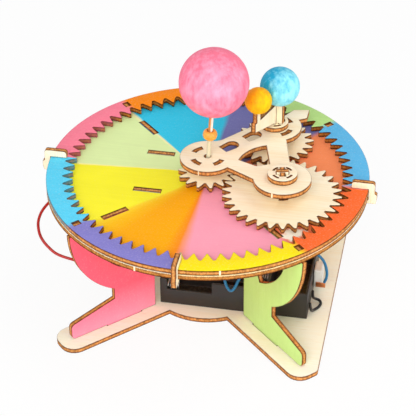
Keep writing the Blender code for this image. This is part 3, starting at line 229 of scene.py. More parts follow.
def lay_lead(name, colour, route):
    points, length = even_points(route, LEAD_STEP)
    curve = bpy.data.curves.new(name, "CURVE")
    curve.dimensions = "3D"
    curve.bevel_depth = LEAD_WIDTH / 2
    curve.bevel_resolution = 4
    curve.use_fill_caps = True
    curve.materials.append(mottled(name + "_cover", colour, 0.38, 0.10, 220.0))
    spline = curve.splines.new("POLY")
    spline.points.add(len(points) - 1)
    for point, place in zip(spline.points, points):
        point.co = (*place, 1.0)
    wire = stands_for(in_scene(name + "_wire", curve), "stand", name, name)


lay_lead("red_lead", rgb(176, 24, 22), [
    (-50.95, 4, 54.7), (-57, 4.3, 56.5), (-65, 2.5, 60.2), (-74, -4.5, 62), (-82, -14, 61), (-87, -22.5, 58),
    (-88.3, -29, 55), (-87, -34.5, 52.8), (-84.6, -38.3, 50), (-80.5, -41, 46.8), (-74.9, -42.8, 43.6),
    (-66.3, -43.2, 41.4), (-57, -40, 37.5), (-47, -32.5, 32), (-38, -24.5, 26.5), (-31, -19, 24.2), (-26.5, -17, 24.8),
    (-22, -16.3, 23.8), (-19.4, -15.9, 20.4), (-19.1, -15.8, 15.8)])
lay_lead("blue_lead", rgb(28, 112, 158), [
    (-50.95, -4, 54.7), (-55.8, -4.6, 53.8), (-58, -7.5, 49.5), (-54, -11.5, 43.5), (-40, -15, 38), (-20, -18, 36),
    (-4, -20, 36.5), (5, -21.3, 36), (10.5, -23.3, 31.5), (13.6, -25.3, 25.8), (15.4, -26.2, 21), (17.6, -26.5, 18.7),
    (19.8, -26.2, 21), (21.8, -25, 25.8), (25.5, -21.5, 32.5), (32, -16, 37.5), (42, -10.5, 39.5), (51, -6.5, 38.5),
    (58.5, -3.5, 35), (63, -1.9, 30.3), (65.6, -0.4, 25.3), (67.2, -1, 20.1), (67.3, -1.5, 15.8), (66.2, -1.7, 12.2)])
lay_lead("black_lead", rgb(22, 20, 20), [
    (60.95, -21.8, 12.6), (61.3, -21.9, 10.2), (61.6, -21.2, 7.8), (61.8, -19.6, 5.6), (62.6, -17.6, 4.6),
    (64.2, -15.2, 4.3), (65.5, -12.6, 4.3), (65.6, -10, 4.3), (64.4, -8.2, 4.5), (62.5, -8.4, 5.4), (61.5, -10, 7.2),
    (61.2, -11.4, 9.6), (61.1, -12, 13.4)])


# Floor and light
# White table top in a white room that is brightest near the floor. A soft lamp stands high on the right and one
# in front, and two low ones reach under the table from the front and from the right.

FLOOR_HALF = 4.0
FLOOR_BELOW = 0.0002  # how far the floor lies under the base plate
GLOW_SHARE = 0.90  # of the floor's own white, in what the camera and mirrors see
WHITE = (1.0, 1.0, 1.0, 1.0)
ROOM_LOW, ROOM_HIGH = 1.00, 0.42  # light from level with the floor and from overhead
LAMPS = {"key": ((0.55, 0.20, 1.30), (0, 0, 0.06), 0.6, 2.4),  # place, target, width and watts
         "front": ((-0.05, -1.10, 1.00), (0, 0, 0.03), 0.9, 8.0),
         "low": ((0.05, -1.35, 0.45), (0, 0, 0.03), 0.9, 3.6),
         "side": ((1.00, -0.50, 0.30), (0.04, -0.02, 0.01), 0.5, 2.4)}


def make_floor():
    mesh = bpy.data.meshes.new("floor")
    corners = [(-1, -1), (1, -1), (1, 1), (-1, 1)]
    mesh.from_pydata([(x * FLOOR_HALF, y * FLOOR_HALF, -FLOOR_BELOW) for x, y in corners], [], [(0, 1, 2, 3)])
    material, tree, shader = new_material("floor_white", 0.9, specular=0.0)
    shader["Base Color"].default_value = (0.92, 0.92, 0.92, 1.0)
    glow = add_node(tree, "Emission", {"Color": WHITE, "Strength": 1.0})[0]
    path = add_node(tree, "LightPath")
    mirrored = calc("MAXIMUM", path["Is Glossy Ray"], path["Is Transmission Ray"])
    seen = calc("MAXIMUM", path["Is Camera Ray"], mirrored)
    matt = tree.nodes["Principled BSDF"].outputs[0]
    both = add_node(tree, "MixShader", {"Fac": times(seen, GLOW_SHARE), 1: matt, 2: glow})
    tree.links.new(both[0], tree.nodes["Material Output"].inputs["Surface"])
    mesh.materials.append(material)
    in_scene("floor", mesh)


def between(share, first, second):
    """Number between the first, at a share of 0, and the second, at 1."""
    return add_node(share, "Mix", {0: share, 2: first, 3: second})[0]


def part_of(vector, axis):
    return add_node(vector, "SeparateXYZ", {"Vector": vector})[axis]


def make_world():
    world = bpy.data.worlds.new("white_room")
    world.use_nodes = True
    tree = world.node_tree
    ground = tree.nodes["Background"].inputs
    ground["Color"].default_value = WHITE
    way = add_node(tree, "TexCoord")["Generated"]
    light = mapped(part_of(way, "Z"), 0.0, 1.0, ROOM_LOW, ROOM_HIGH)
    seen = add_node(tree, "LightPath")["Is Camera Ray"]
    tree.links.new(between(seen, light, 1.0), ground["Strength"])
    bpy.context.scene.world = world


def hang_lamp(name, place, target, width, watts):
    data = bpy.data.lights.new(name, "AREA")
    data.shape = "DISK"
    data.size = width
    data.energy = watts
    lamp = in_scene(name, data)
    lamp.location = place
    lamp.rotation_euler = (Vector(target) - Vector(place)).to_track_quat("-Z", "Y").to_euler()


make_floor()
make_world()
for lamp_name, lamp_values in LAMPS.items():
    hang_lamp(lamp_name, *lamp_values)


# Base plate
# One sheet of 3 mm birch plywood with three veneers, cut by a laser that leaves its edges scorched. The pale
# face keeps its fine grain and has a thin brown line along every cut. It lies flat and takes the legs' tabs.

CUT_BAND = 0.00042  # scorched line along a cut
FINE_BAND = 0.0003  # the same on small pieces and teeth
THIN_BAND = 0.00014  # and on the washer and the hub
CUT_EASE = 0.00010  # how far the edge is rounded down
WELD = 0.000002  # points nearer than this are one
SHARP = 32  # degrees from which an edge is left sharp
FLAT_LEAN = 0.7  # a face that leans less than this, as a cosine, is a cut wall
TIGHTEST = 0.45  # least share of the band that is left at a sharp corner
FAR = 9.0  # further out than any piece
UP, EAST = (0.0, 0.0, 1.0), (1.0, 0.0, 0.0)
BRIDGES = ("Bridge 1", "Bridge 2")
CUT_RELIEF = 0.00003


def cut_outlines(faces):
    """Closed outlines of a flat patch of faces, each with the patch on its left."""
    patch = set(faces)
    following = {}
    for face in faces:
        for loop in face.loops:
            if sum(1 for other in loop.edge.link_faces if other in patch) == 1:
                following[loop.vert] = loop.link_loop_next.vert
    outlines = []
    while following:
        first, second = following.popitem()
        outline = [first]
        while second != first:
            outline.append(second)
            second = following.pop(second)
        outlines.append(outline)
    return outlines


def drawn_in(points, normal, band):
    """Outline moved inwards by the band. Where a tight curve would fold over itself, its points fall together."""
    count = len(points)
    ways = [(points[(k + 1) % count] - points[k]).normalized() for k in range(count)]
    moved = []
    for k in range(count):
        before, after = normal.cross(ways[k - 1]), normal.cross(ways[k])
        middle = (before + after).normalized() if (before + after).length > 0.001 else after
        moved.append(points[k] + middle * band / max(TIGHTEST, middle.dot(after)))
    for _ in range(6):
        folded = [k for k in range(count) if (moved[(k + 1) % count] - moved[k]).dot(ways[k]) < 0.0]
        for k in folded:
            shared = (moved[k] + moved[(k + 1) % count]) / 2
            moved[k], moved[(k + 1) % count] = shared, shared.copy()
    return moved


def merged(mesh):
    """Shape of a mesh with its doubled points merged."""
    shape = bmesh.new()
    shape.from_mesh(mesh)
    bmesh.ops.remove_doubles(shape, verts=shape.verts, dist=WELD)
    return shape


def from_shape(name, shape):
    mesh = bpy.data.meshes.new(name)
    shape.to_mesh(mesh)
    shape.free()
    return in_scene(name, mesh)


def dress_sheet(shape, node, body, slot, material, up, along, band):
    """Piece made of a cut sheet with eased edges. It stores where the cut wall is, how far a point is across the
    thickness, how near it is to a cut, and a UV map in metres along the grain and across it."""
    up, along = Vector(up).normalized(), Vector(along).normalized()
    cross = up.cross(along)
    heights = [v.co.dot(up) for v in shape.verts]
    middle, half = (max(heights) + min(heights)) / 2, (max(heights) - min(heights)) / 2
    burn = shape.verts.layers.float.new("burn")
    across = shape.verts.layers.float.new("across")
    wall = shape.faces.layers.float.new("wall")
    uv = shape.loops.layers.uv.new("sheet")
    shape.normal_update()
    sides = {1: [], -1: []}
    for face in shape.faces:
        face.smooth = True
        lean = face.normal.dot(up)
        if abs(lean) > FLAT_LEAN:
            sides[1 if lean > 0 else -1].append(face)
        else:
            face[wall] = 1.0
    for vert in shape.verts:
        vert[burn] = 1.0
        vert[across] = (vert.co.dot(up) - middle) / half
    for facing, faces in sides.items():
        normal = up * facing
        outlines = cut_outlines(faces)
        bmesh.ops.delete(shape, geom=faces, context="FACES")
        inner_edges = []
        for outline in outlines:
            inner = [shape.verts.new(p) for p in drawn_in([v.co.copy() for v in outline], normal, band)]
            for vert in inner:
                vert[across] = float(facing)
            for k, vert in enumerate(outline):
                after = (k + 1) % len(outline)
                shape.faces.new((vert, outline[after], inner[after], inner[k])).smooth = True
                inner_edges.append(shape.edges.get((inner[k], inner[after])))
            for vert in outline:
                vert.co -= normal * CUT_EASE
        filled = bmesh.ops.triangle_fill(shape, use_beauty=True, use_dissolve=False, edges=inner_edges,
                                         normal=normal)["geom"]
        for item in filled:
            if isinstance(item, bmesh.types.BMFace):
                item.smooth = False
                item.normal_update()
                if item.normal.dot(normal) < 0:
                    item.normal_flip()
    bmesh.ops.remove_doubles(shape, verts=shape.verts, dist=WELD)
    for face in shape.faces:
        for loop in face.loops:
            place = loop.vert.co
            if face[wall] > 0.5:
                loop[uv].uv = (place.dot(along) + place.dot(cross), place.dot(up))
            else:
                loop[uv].uv = (place.dot(along), place.dot(cross))
    piece = from_shape(node + "_sheet", shape)
    piece.data.set_sharp_from_angle(angle=radians(SHARP))
    piece.data.materials.append(material)
    return stands_for(piece, body, slot, node)


def cut_sheet(node, body, material, angle=None, grain=UP, slot="bare_ply", band=CUT_BAND):
    """Dressed copy of a plate. It lies level with its grain along X, or stands along an angle in plan, in degrees,
    with its grain upright."""
    up, along = UP, EAST
    if angle is not None:
        turn = radians(angle)
        up, along = (sin(turn), -cos(turn), 0.0), grain
    dress_sheet(merged(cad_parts[node].data), node, body, slot, material, up, along, band)


def mixed(share, first, second):
    """Colour between the first, at a share of 0, and the second, at 1."""
    return add_node(share, "Mix", {0: share, 6: first, 7: second}, data_type="RGBA")[2]


def ramp(share, stops):
    """Colour that changes along a share through stops, which are places from 0 to 1 and their colours."""
    colour = add_node(share, "ValToRGB", {"Fac": share})["Color"]
    elements = colour.node.color_ramp.elements
    while len(elements) < len(stops):
        elements.new(0.5)
    for element, (place, shade) in zip(elements, stops):
        element.position = place
        element.color = shade
    return colour


def sheet_place(tree, shift=None):
    """Place on a sheet along its grain and across it, shifted so that no two sheets look alike."""
    place = add_node(tree, "UVMap", uv_map="sheet")["UV"]
    return place if shift is None else vector_calc("ADD", place, shift)


def stored(tree, name):
    return add_node(tree, "Attribute", attribute_name=name)["Fac"]


def plan_reach(place, axis=(0.0, 0.0, 0.0)):
    """How far a place is from the upright axis through a point."""
    return vector_calc("DISTANCE", vector_calc("MULTIPLY", place, (1.0, 1.0, 0.0)), axis)


def veneer_group():
    """Birch face veneer: fine fibres along the grain, broad pale bands, and short dark pores."""
    tree, given = new_group("veneer", {"Pale": rgb(255, 243, 216), "Deep": rgb(249, 226, 184), "Shift": 0.0})
    place = sheet_place(tree, given["Shift"])
    fibre, bands, pores = (noise(place, 1.0, detail, 0.3, (along, across, 1.0))
                           for along, across, detail in ((40.0, 1500.0, 4.0), (9.0, 90.0, 2.0), (160.0, 2600.0, 1.0)))
    share = mapped(plus(fibre, bands), 0.75, 1.35)
    wood = mixed(share, given["Pale"], given["Deep"])
    dark = mapped(pores, 0.30, 0.22, 0.0, 0.35)
    return end_group(tree, Colour=mixed(dark, wood, rgb(214, 172, 120)), Height=fibre)


def laser_cut_group():
    """Scorched cut wall with its three veneers, and the brown line that the beam leaves along the face. The wall can
    be darkened, its upper lip made paler, and wet paint let soak in; a bridge is where the piece was broken out."""
    tree, given = new_group("laser_cut", {
        "Face": (0.9, 0.8, 0.6, 1.0), "Face Roughness": 0.6, "Face Height": 0.5, "Line": 0.92, "Wall Dimming": 1.0,
        "Pale Lip": 0.0, "Run": 0.0, **{label: (FAR, FAR, FAR) for label in BRIDGES}})
    place = object_place(tree)
    wall = stored(tree, "wall")
    ridges = noise(sheet_place(tree), 1.0, 3.0, stretch=(2600.0, 260.0, 1.0))
    cloud = noise(place, 330.0, 2.0)
    wander = minus(cloud, 0.5)
    wavy = times_plus(wander, 0.5, calc("ABSOLUTE", stored(tree, "across")))
    layers = ramp(wavy, [
        (0.0, rgb(226, 160, 92)), (0.26, rgb(214, 144, 76)), (0.32, rgb(158, 94, 42)),
        (0.42, rgb(214, 144, 76)), (0.60, rgb(180, 110, 52)), (0.84, rgb(76, 38, 12))])
    tone = mapped(ridges, 0.25, 0.75, 0.66, 1.28)
    charred = mapped(noise(place, 800.0, 2.0), 0.36, 0.60, 0.62, 1.12)
    toned = scaled(layers, times(tone, charred))
    # The wall is darkened by the given amount, the blue most and the red least.
    left = add_node(tree, "CombineXYZ", {
        "X": given["Wall Dimming"], "Y": calc("POWER", given["Wall Dimming"], 1.3), "Z": calc("POWER", given["Wall Dimming"], 2.2)})
    shade = vector_calc("MULTIPLY", toned, left[0])
    stained = mixed(times(cloud, given["Run"]), shade, scaled(given["Face"], 0.42))
    # Paler along the wall's upper lip, by the given share.
    paled = times(given["Pale Lip"], mapped(ridges, 0.40, 0.62, 0.35, 1.0))
    lip = mixed(paled, stained, rgb(255, 222, 168))
    broken = [mapped(plan_reach(place, given[label]), 0.0006, 0.0003) for label in BRIDGES]
    split = mixed(calc("MAXIMUM", *broken), lip, rgb(255, 236, 200))
    blotch = mapped(cloud, 0.35, 0.65, 0.6, 1.0)
    scorch = times(calc("POWER", stored(tree, "burn"), 1.3), blotch)
    face = mixed(times(scorch, given["Line"]), given["Face"], rgb(78, 38, 12))
    return end_group(tree, Colour=mixed(wall, face, split), Roughness=between(wall, given["Face Roughness"], 0.85),
                     Height=between(wall, given["Face Height"], ridges))


VENEER = veneer_group()
LASER_CUT = laser_cut_group()


def bare_ply(name, shift, bridges=(), wall_dimming=1.0, **veneer):
    material, tree, shader = new_material(name, 0.6, specular=0.3)
    wood = add_group(tree, VENEER, {"Shift": shift, **veneer})
    dress_with(tree, shader, CUT_RELIEF, LASER_CUT, {
        "Face": wood["Colour"], "Face Roughness": 0.6, "Face Height": wood["Height"], "Wall Dimming": wall_dimming,
        **dict(zip(BRIDGES, bridges))})
    return material


# The base's veneer is given paler than the others' as painted light, against the shade under the table.
cut_sheet("base_plate", "stand", bare_ply("base_ply", 0.3, Pale=rgb(255, 251, 233), Deep=rgb(254, 242, 213)))


# Legs
# Four equal plywood legs, each brushed with one bright matt poster colour on both faces. The paint is thin:
# brush strokes and the grain show through, and the scorched edges stay bare.

# Each leg's second colour is its paint darkened as painted shade under the table.
LEG_PAINT = {"leg_front_left": ("pink_paint", -135, rgb(255, 150, 175), rgb(248, 94, 116)),
             "leg_front_right": ("green_paint", -45, rgb(198, 232, 142), rgb(198, 232, 132)),
             "leg_back_right": ("yellow_paint", 45, rgb(255, 230, 50), rgb(254, 216, 40)),
             "leg_back_left": ("blue_paint", 135, rgb(110, 200, 240), rgb(84, 176, 230))}
FOOT_TOP, LEG_TOP = 0.003, 0.026  # between these heights the foot's colour gives way to painted shade under the table
RIM_STARTS = (0.0850, 0.0862)  # radii between which the darkening of the cut walls inside the rim gives way to the rim's
RUN_STARTS = (-0.058, -0.066)  # places along X between which wet paint begins to run into the cuts
BARE_STEP = 0.0005  # width of the edge of the paint


def brush_group():
    """Thin matt paint on veneer: long brush strokes, watery patches, and the grain underneath."""
    tree, given = new_group("brushed_paint", {"Thin": (0.8, 0.3, 0.3, 1.0), "Thick": (0.6, 0.2, 0.2, 1.0),
                                              "Shift": 0.0, "Specks": 0.10})
    place = sheet_place(tree, given["Shift"])
    strokes = noise(place, 1.0, 5.0, 0.6, (28.0, 620.0, 1.0))
    patches = noise(place, 55.0, 3.0, 0.8)
    share = mapped(plus(strokes, patches), 0.72, 1.3)
    paint = mixed(share, given["Thin"], given["Thick"])
    specks = mapped(noise(place, 1.0, 2.0, stretch=(900.0, 2100.0, 1.0)), 0.56, 0.74)
    bare = times(specks, given["Specks"])
    return end_group(tree, Colour=mixed(bare, paint, rgb(255, 244, 226)),
                     Roughness=mapped(strokes, 0.0, 1.0, 0.52, 0.72), Height=strokes)


BRUSHED = brush_group()


def dimmed(colour, factor):
    return (*[c * factor for c in colour[:3]], 1.0)


def painted_ply(name, paint, thick, shift, bridges=(), specks=0.10, bare_from=FAR, wall_dimming=1.0, rim_dimming=1.0, run=0.0):
    """paint is a function that adds a colour to the material, dimmed by a factor, and thick is that factor where
    the paint is thick. Past a radius the wood is bare and its upper edge paler. The walls of cuts inside the rim,
    and the rim, are darkened as given. On the left wet paint ran into the cuts."""
    material, tree, shader = new_material(name, 0.6, specular=0.12)
    place = object_place(tree)
    painted = add_group(tree, BRUSHED, {"Thin": paint(place, 1.0), "Thick": paint(place, thick),
                                        "Shift": shift, "Specks": specks})
    wood = add_group(tree, VENEER, {"Shift": shift})
    radius = plan_reach(place)
    bare = mapped(radius, bare_from, bare_from + BARE_STEP)
    upper = mapped(stored(tree, "across"), 0.66, 0.76)
    dress_with(tree, shader, CUT_RELIEF, LASER_CUT, {
        "Face": mixed(bare, painted["Colour"], wood["Colour"]), "Face Roughness": painted["Roughness"],
        "Face Height": painted["Height"], "Line": mapped(bare, 0.0, 1.0, 0.9, 0.0),
        "Wall Dimming": mapped(radius, *RIM_STARTS, wall_dimming, rim_dimming), "Pale Lip": times(upper, bare),
        "Run": mapped(part_of(place, "X"), *RUN_STARTS, 0.0, run), **dict(zip(BRIDGES, bridges))})
    return material


def shaded_under_table(foot, top):
    """Gives a function that adds a leg's paint to a material, darker towards the table as painted shade under it."""
    def build(place, factor):
        share = mapped(part_of(place, "Z"), FOOT_TOP, LEG_TOP)
        return mixed(share, dimmed(foot, factor), dimmed(top, factor))
    return build


for leg, (leg_slot, leg_angle, leg_foot, leg_shaded) in LEG_PAINT.items():
    leg_paint = painted_ply(leg_slot, shaded_under_table(leg_foot, leg_shaded), 0.94, leg_angle * 0.01)
    cut_sheet(leg, "stand", leg_paint, leg_angle, slot=leg_slot)


# Battery tray
# Black moulded tray for three AA cells with a wiring bay, slightly grained and a little dusty. Plated contact
# strips stand at both ends of each trough, and the contact springs are wound from one plated wire.

TROUGH_PITCH = 0.0158
SPRING_WIRE = 0.00045  # radius
SPRING_HEIGHT = 0.00985  # of the springs' axis above the floor


def carried(node, material):
    """A CAD node that stays as it is and only gets its finish."""
    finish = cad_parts[node].data.materials
    finish.clear()
    finish.append(material)


def changed(piece, kind, inputs=None, **settings):
    """Gives a piece a modifier and makes what comes out its plain mesh."""
    old, change = piece.data, piece.modifiers.new("change", kind)
    for key, value in settings.items():
        setattr(change, key, value)
    for key, value in (inputs or {}).items():
        change[key] = value
    piece.update_tag()
    bpy.context.view_layer.update()
    solid = bpy.data.meshes.new_from_object(piece.evaluated_get(bpy.context.evaluated_depsgraph_get()))
    piece.modifiers.clear()
    piece.data = solid
    bpy.data.meshes.remove(old)
    return piece


def finished(piece, node, body, slot, material, sharp=None):
    """Smooth piece in its material. Edges stay sharp where they turn by more than some degrees."""
    piece.data.shade_smooth()
    if sharp:
        piece.data.set_sharp_from_angle(angle=radians(sharp))
    piece.data.materials.clear()
    piece.data.materials.append(material)
    return stands_for(piece, body, slot, node)


def rounded_solid(node, material, slot, radius, segments=2):
    """Copy of a solid of the stand with its edges rounded off."""
    shape = merged(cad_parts[node].data)
    bmesh.ops.dissolve_limit(shape, angle_limit=radians(1), verts=shape.verts, edges=shape.edges)
    piece = changed(from_shape(node + "_moulded", shape), "BEVEL", width=radius, segments=segments,
                    limit_method="ANGLE", angle_limit=radians(50))
    finished(piece, node, "stand", slot, material, 40)


def moulded_black():
    """Charcoal plastic with a fine spark-eroded grain and dust that settles on flat ledges."""
    material, tree, shader = new_material("tray_black", 0.5)
    skin = add_group(tree, MOTTLE, {"Colour": rgb(39, 32, 27), "Amount": 0.18, "Scale": 120.0, "Roughness": 0.46})
    facing = part_of(add_node(tree, "NewGeometry")["Normal"], "Z")
    dust = times(facing, noise(object_place(tree), 700.0, 4.0))
    colour = mixed(mapped(dust, 0.45, 0.75, 0.0, 0.18), skin["Colour"], rgb(168, 160, 150))
    dress(tree, shader, 0.00003, colour, skin["Height"], skin["Roughness"])
    return material


def brushed_metal(name, colour, roughness, along=(1.0, 60.0, 60.0)):
    """Plated or drawn metal: fine lines one way, and faint stains in the plating."""
    material, tree, shader = new_material(name, roughness, 1.0)
    lines = noise(object_place(tree), 90.0, 3.0, stretch=along)
    skin = add_group(tree, MOTTLE, {"Colour": colour, "Amount": 0.12, "Scale": 260.0, "Roughness": roughness})
    dress(tree, shader, 0.00001, skin["Colour"], lines, mapped(lines, 0.0, 1.0, roughness * 0.7, roughness * 1.4))
    return material


def new_tree(name, **labels):
    """Geometry node tree with named inputs of each kind, and their sockets."""
    tree = bpy.data.node_groups.new(name, "GeometryNodeTree")
    for kind, names in labels.items():
        for label in names:
            tree.interface.new_socket(label, in_out="INPUT", socket_type="NodeSocket" + kind)
    tree.interface.new_socket("Geometry", in_out="OUTPUT", socket_type="NodeSocketGeometry")
    return tree, tree.nodes.new("NodeGroupInput").outputs


def built(tree, kind, values, **settings):
    """Adds a geometry node and gives its first output."""
    return add_node(tree, "GeometryNode" + kind, values, **settings)[0]


def joined(tree, *parts):
    return built(tree, "JoinGeometry", {"Geometry": list(parts)})


def end_tree(tree, geometry, finish):
    real = built(tree, "RealizeInstances", {"Geometry": geometry})
    add_node(tree, "NodeGroupOutput", {
        "Geometry": built(tree, "SetMaterial", {"Geometry": real, "Material": finish})})
    return tree


def spring_tree():
    """Geometry nodes: a tapering coil of round wire, laid along X from its wide end."""
    tree, given = new_tree("contact_spring", Vector=("Place", "Turn"), Float=(
        "Turns", "Wide Radius", "Narrow Radius", "Length", "Wire Radius"), Material=("Finish",))
    spiral = built(tree, "CurveSpiral", {
        "Resolution": 36, "Rotations": given["Turns"], "Start Radius": given["Wide Radius"],
        "End Radius": given["Narrow Radius"], "Height": given["Length"]})
    wire = built(tree, "CurvePrimitiveCircle", {"Resolution": 10, "Radius": given["Wire Radius"]})
    solid = built(tree, "CurveToMesh", {"Curve": spiral, "Profile Curve": wire, "Fill Caps": True})
    placed = built(tree, "Transform", {"Geometry": solid, "Translation": given["Place"], "Rotation": given["Turn"]})
    return end_tree(tree, built(tree, "SetShadeSmooth", {"Geometry": placed}), given["Finish"])


def grown(name, tree, values):
    """Runs a geometry node tree with the given inputs and makes the result a plain mesh object."""
    inputs = {socket.identifier: values[socket.name] for socket in tree.interface.items_tree
              if socket.in_out == "INPUT"}
    return changed(in_scene(name, bpy.data.meshes.new(name + "_seed")), "NODES", inputs, node_group=tree)


PLATED = brushed_metal("plated_steel", rgb(206, 204, 200), 0.30)
COPPER = brushed_metal("copper_strip", rgb(222, 140, 90), 0.34)
SPRING_TREE = spring_tree()

rounded_solid("battery_tray", moulded_black(), "black_plastic", 0.00035)
for cell in (1, 2, 3):
    for end in ("left", "right"):
        rounded_solid(f"contact_plate_{end}_{cell}", PLATED, "steel", 0.00015)
for cell in (1, 2, 3):
    spring = f"contact_spring_{cell}"
    spring_low, spring_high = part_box(spring)
    from_left = cell != 2
    coil = grown(spring + "_coil", SPRING_TREE, {
        "Place": (spring_low.x + SPRING_WIRE if from_left else spring_high.x - SPRING_WIRE,
                  TROUGH_PITCH * (cell - 2), SPRING_HEIGHT),
        "Turn": (0.0, pi / 2 if from_left else -pi / 2, 0.0), "Turns": 4.5, "Wide Radius": 0.0042,
        "Narrow Radius": 0.0024, "Length": 0.0061, "Wire Radius": SPRING_WIRE, "Finish": PLATED})
    stands_for(coil, "stand", "steel", spring)


# Terminal block
# White moulded block on the tray's end wall with a bright copper lug that the blue lead is soldered to.

WHITE_MOULDED = mottled("white_moulded", rgb(236, 233, 224), 0.42, 0.06, 160.0)
carried("terminal_block", WHITE_MOULDED)
rounded_solid("terminal_lug", COPPER, "copper", 0.00012)


# Geared motor
# Small hobby motor with a yellow gearbox, screwed between two plywood brackets that hang from the table.

YELLOW_MOULDED = mottled("yellow_moulded", rgb(240, 196, 40), 0.42, 0.08, 140.0)
MOTOR_STEEL = brushed_metal("motor_steel", rgb(190, 190, 194), 0.26, (60.0, 1.0, 1.0))
SCREW_HEAD = 0.0016  # height of the head
RECESS_LONG, RECESS_WIDE = 1.15, 0.28  # of an arm of the cross recess, in radii of the head

for side, bracket_shift in (("front", 0.7), ("back", 1.1)):
    cut_sheet("motor_bracket_" + side, "stand", bare_ply("bracket_ply_" + side, bracket_shift), 0, EAST)
carried("gear_housing", YELLOW_MOULDED)
rounded_solid("gear_housing_lid", YELLOW_MOULDED, "yellow_plastic", 0.0006)
rounded_solid("motor_can", MOTOR_STEEL, "steel", 0.0005, 3)
rounded_solid("motor_end_cap", WHITE_MOULDED, "white_plastic", 0.0005, 3)
for number in (1, 2):
    rounded_solid(f"motor_terminal_{number}", COPPER, "copper", 0.00012)


def screw_tree():
    """Geometry nodes: pan head screws with a cross recess and a plain shank, two on each of two faces."""
    tree, given = new_tree("motor_screws", Float=("Half Spacing", "Height", "Face", "Head Radius", "Head Height",
                                                  "Shank Radius", "Shank Length"), Material=("Finish",))

    def vector(**parts):
        return add_node(tree, "CombineXYZ", parts)[0]

    def raised(solid, height):
        return built(tree, "Transform", {"Geometry": solid, "Translation": vector(Z=height)})

    def cylinder(points, radius, depth):
        return built(tree, "MeshCylinder", {"Vertices": points, "Radius": given[radius], "Depth": given[depth]})

    cross = []
    for x, y in ((RECESS_LONG, RECESS_WIDE), (RECESS_WIDE, RECESS_LONG)):
        size = vector(X=times(given["Head Radius"], x), Y=times(given["Head Radius"], y), Z=given["Head Height"])
        cross.append(raised(built(tree, "MeshCube", {"Size": size}), given["Head Height"]))
    head = built(tree, "MeshBoolean", {
        "Mesh 1": raised(cylinder(28, "Head Radius", "Head Height"), times(given["Head Height"], 0.5)),
        "Mesh 2": joined(tree, *cross), "Self Intersection": True}, operation="DIFFERENCE", solver="EXACT")
    shank = raised(cylinder(16, "Shank Radius", "Shank Length"), times(given["Shank Length"], -0.5))
    screw = joined(tree, head, shank)
    rows = []
    for facing in (-1.0, 1.0):
        start = vector(X=times(given["Half Spacing"], -1.0), Y=times(given["Face"], facing), Z=given["Height"])
        line = built(tree, "MeshLine", {
            "Count": 2, "Start Location": start, "Offset": vector(X=times(given["Half Spacing"], 2.0))}, mode="OFFSET")
        rows.append(built(tree, "InstanceOnPoints", {
            "Points": line, "Instance": screw, "Rotation": (-facing * pi / 2, 0.0, 0.0)}))
    return end_tree(tree, joined(tree, *rows), given["Finish"])


screw_low, screw_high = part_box("motor_screw_4")
screws = grown("motor_screws", screw_tree(), {
    "Half Spacing": (screw_low.x + screw_high.x) / 2, "Height": (screw_low.z + screw_high.z) / 2,
    "Face": screw_high.y - SCREW_HEAD, "Head Radius": 0.0022, "Head Height": SCREW_HEAD, "Shank Radius": 0.001,
    "Shank Length": screw_high.y - screw_low.y - SCREW_HEAD, "Finish": PLATED})
screws.data.shade_smooth()
screws.data.set_sharp_from_angle(angle=radians(35))
stands_for(screws, "stand", "steel", "motor_screw_1", "motor_screw_2", "motor_screw_3", "motor_screw_4")


# Round table
# 175 mm plywood disc, painted in eighths with thinned poster colours. The borders were brushed by eye, so they
# wander a little, and the orange runs into the pink.

BORDER = 0.0006  # half the width of a plain border between two eighths, as a share of a turn
MISSED_SPOT = (0.0530, -0.0425, 0.0743)
MISSED_EDGE = (0.0122, 0.0098)  # radii between which the missed spot begins
BARE_LINE = rgb(255, 247, 176)
LEFT_BARE = (-0.0012, ((-0.0005, BARE_LINE), (0.0005, BARE_LINE)), 0.0012)
TABLE_BORDERS = {0: LEFT_BARE, 1: (-0.002, ((0.003, rgb(255, 216, 44)), (0.016, rgb(255, 194, 14))), 0.040),
                 2: (-0.024, ((-0.008, rgb(255, 146, 20)),), 0.007), 7: LEFT_BARE}
TABLE_COLOURS = [rgb(255, 246, 48), rgb(255, 174, 0), rgb(255, 164, 184), rgb(255, 133, 84),
                 rgb(255, 145, 92), rgb(121, 121, 182), rgb(52, 202, 236), rgb(226, 245, 173)]


def eighths_group():
    """Share of a full turn about Z, from 0 at -180 degrees to 1, with a hand-drawn wander. The border at -180
    degrees can be pulled off the centre."""
    tree, given = new_group("eighths", {"Wander": 0.004, "Scale": 90.0, "Pull": 0.0})
    place = object_place(tree)
    x, y = part_of(place, "X"), part_of(place, "Y")
    left = mapped(x, -0.078, -0.022, 0.0, given["Pull"])
    near = mapped(calc("ABSOLUTE", y), 0.014, 0.004)
    across = minus(y, times(left, near))
    share = times_plus(calc("ARCTAN2", across, x), 1 / (2 * pi), 0.5)
    wander = minus(noise(place, given["Scale"], 3.0), 0.5)
    return end_group(tree, Turn=times_plus(wander, given["Wander"], share))


EIGHTHS = eighths_group()


def in_eighths(colours, borders=None, pull=0.0, missed=None):
    """Gives a function that adds the eight colours to a material. borders holds, by number, how far a border
    reaches to either side and the colours between, and missed is the middle of a spot that the brush missed."""
    borders = borders or {}
    stops = [(0.0, BARE_LINE if 0 in borders else colours[0]), (2 * BORDER, colours[0])]
    for border in range(1, 8):
        start, inside, end = borders.get(border, (-BORDER, (), BORDER))
        stops.append((border / 8 + start, colours[border - 1]))
        stops += [(border / 8 + offset, colour) for offset, colour in inside]
        stops.append((border / 8 + end, colours[border]))

    def build(place, factor):
        turn = add_group(place, EIGHTHS, {"Pull": pull})["Turn"]
        colour = ramp(turn, [(position, dimmed(stop, factor)) for position, stop in stops])
        if missed is None:
            return colour
        frayed = times_plus(noise(place, 260.0, 3.0), 0.010, vector_calc("DISTANCE", place, missed))
        return mixed(mapped(frayed, *MISSED_EDGE), colour, rgb(255, 246, 224))
    return build


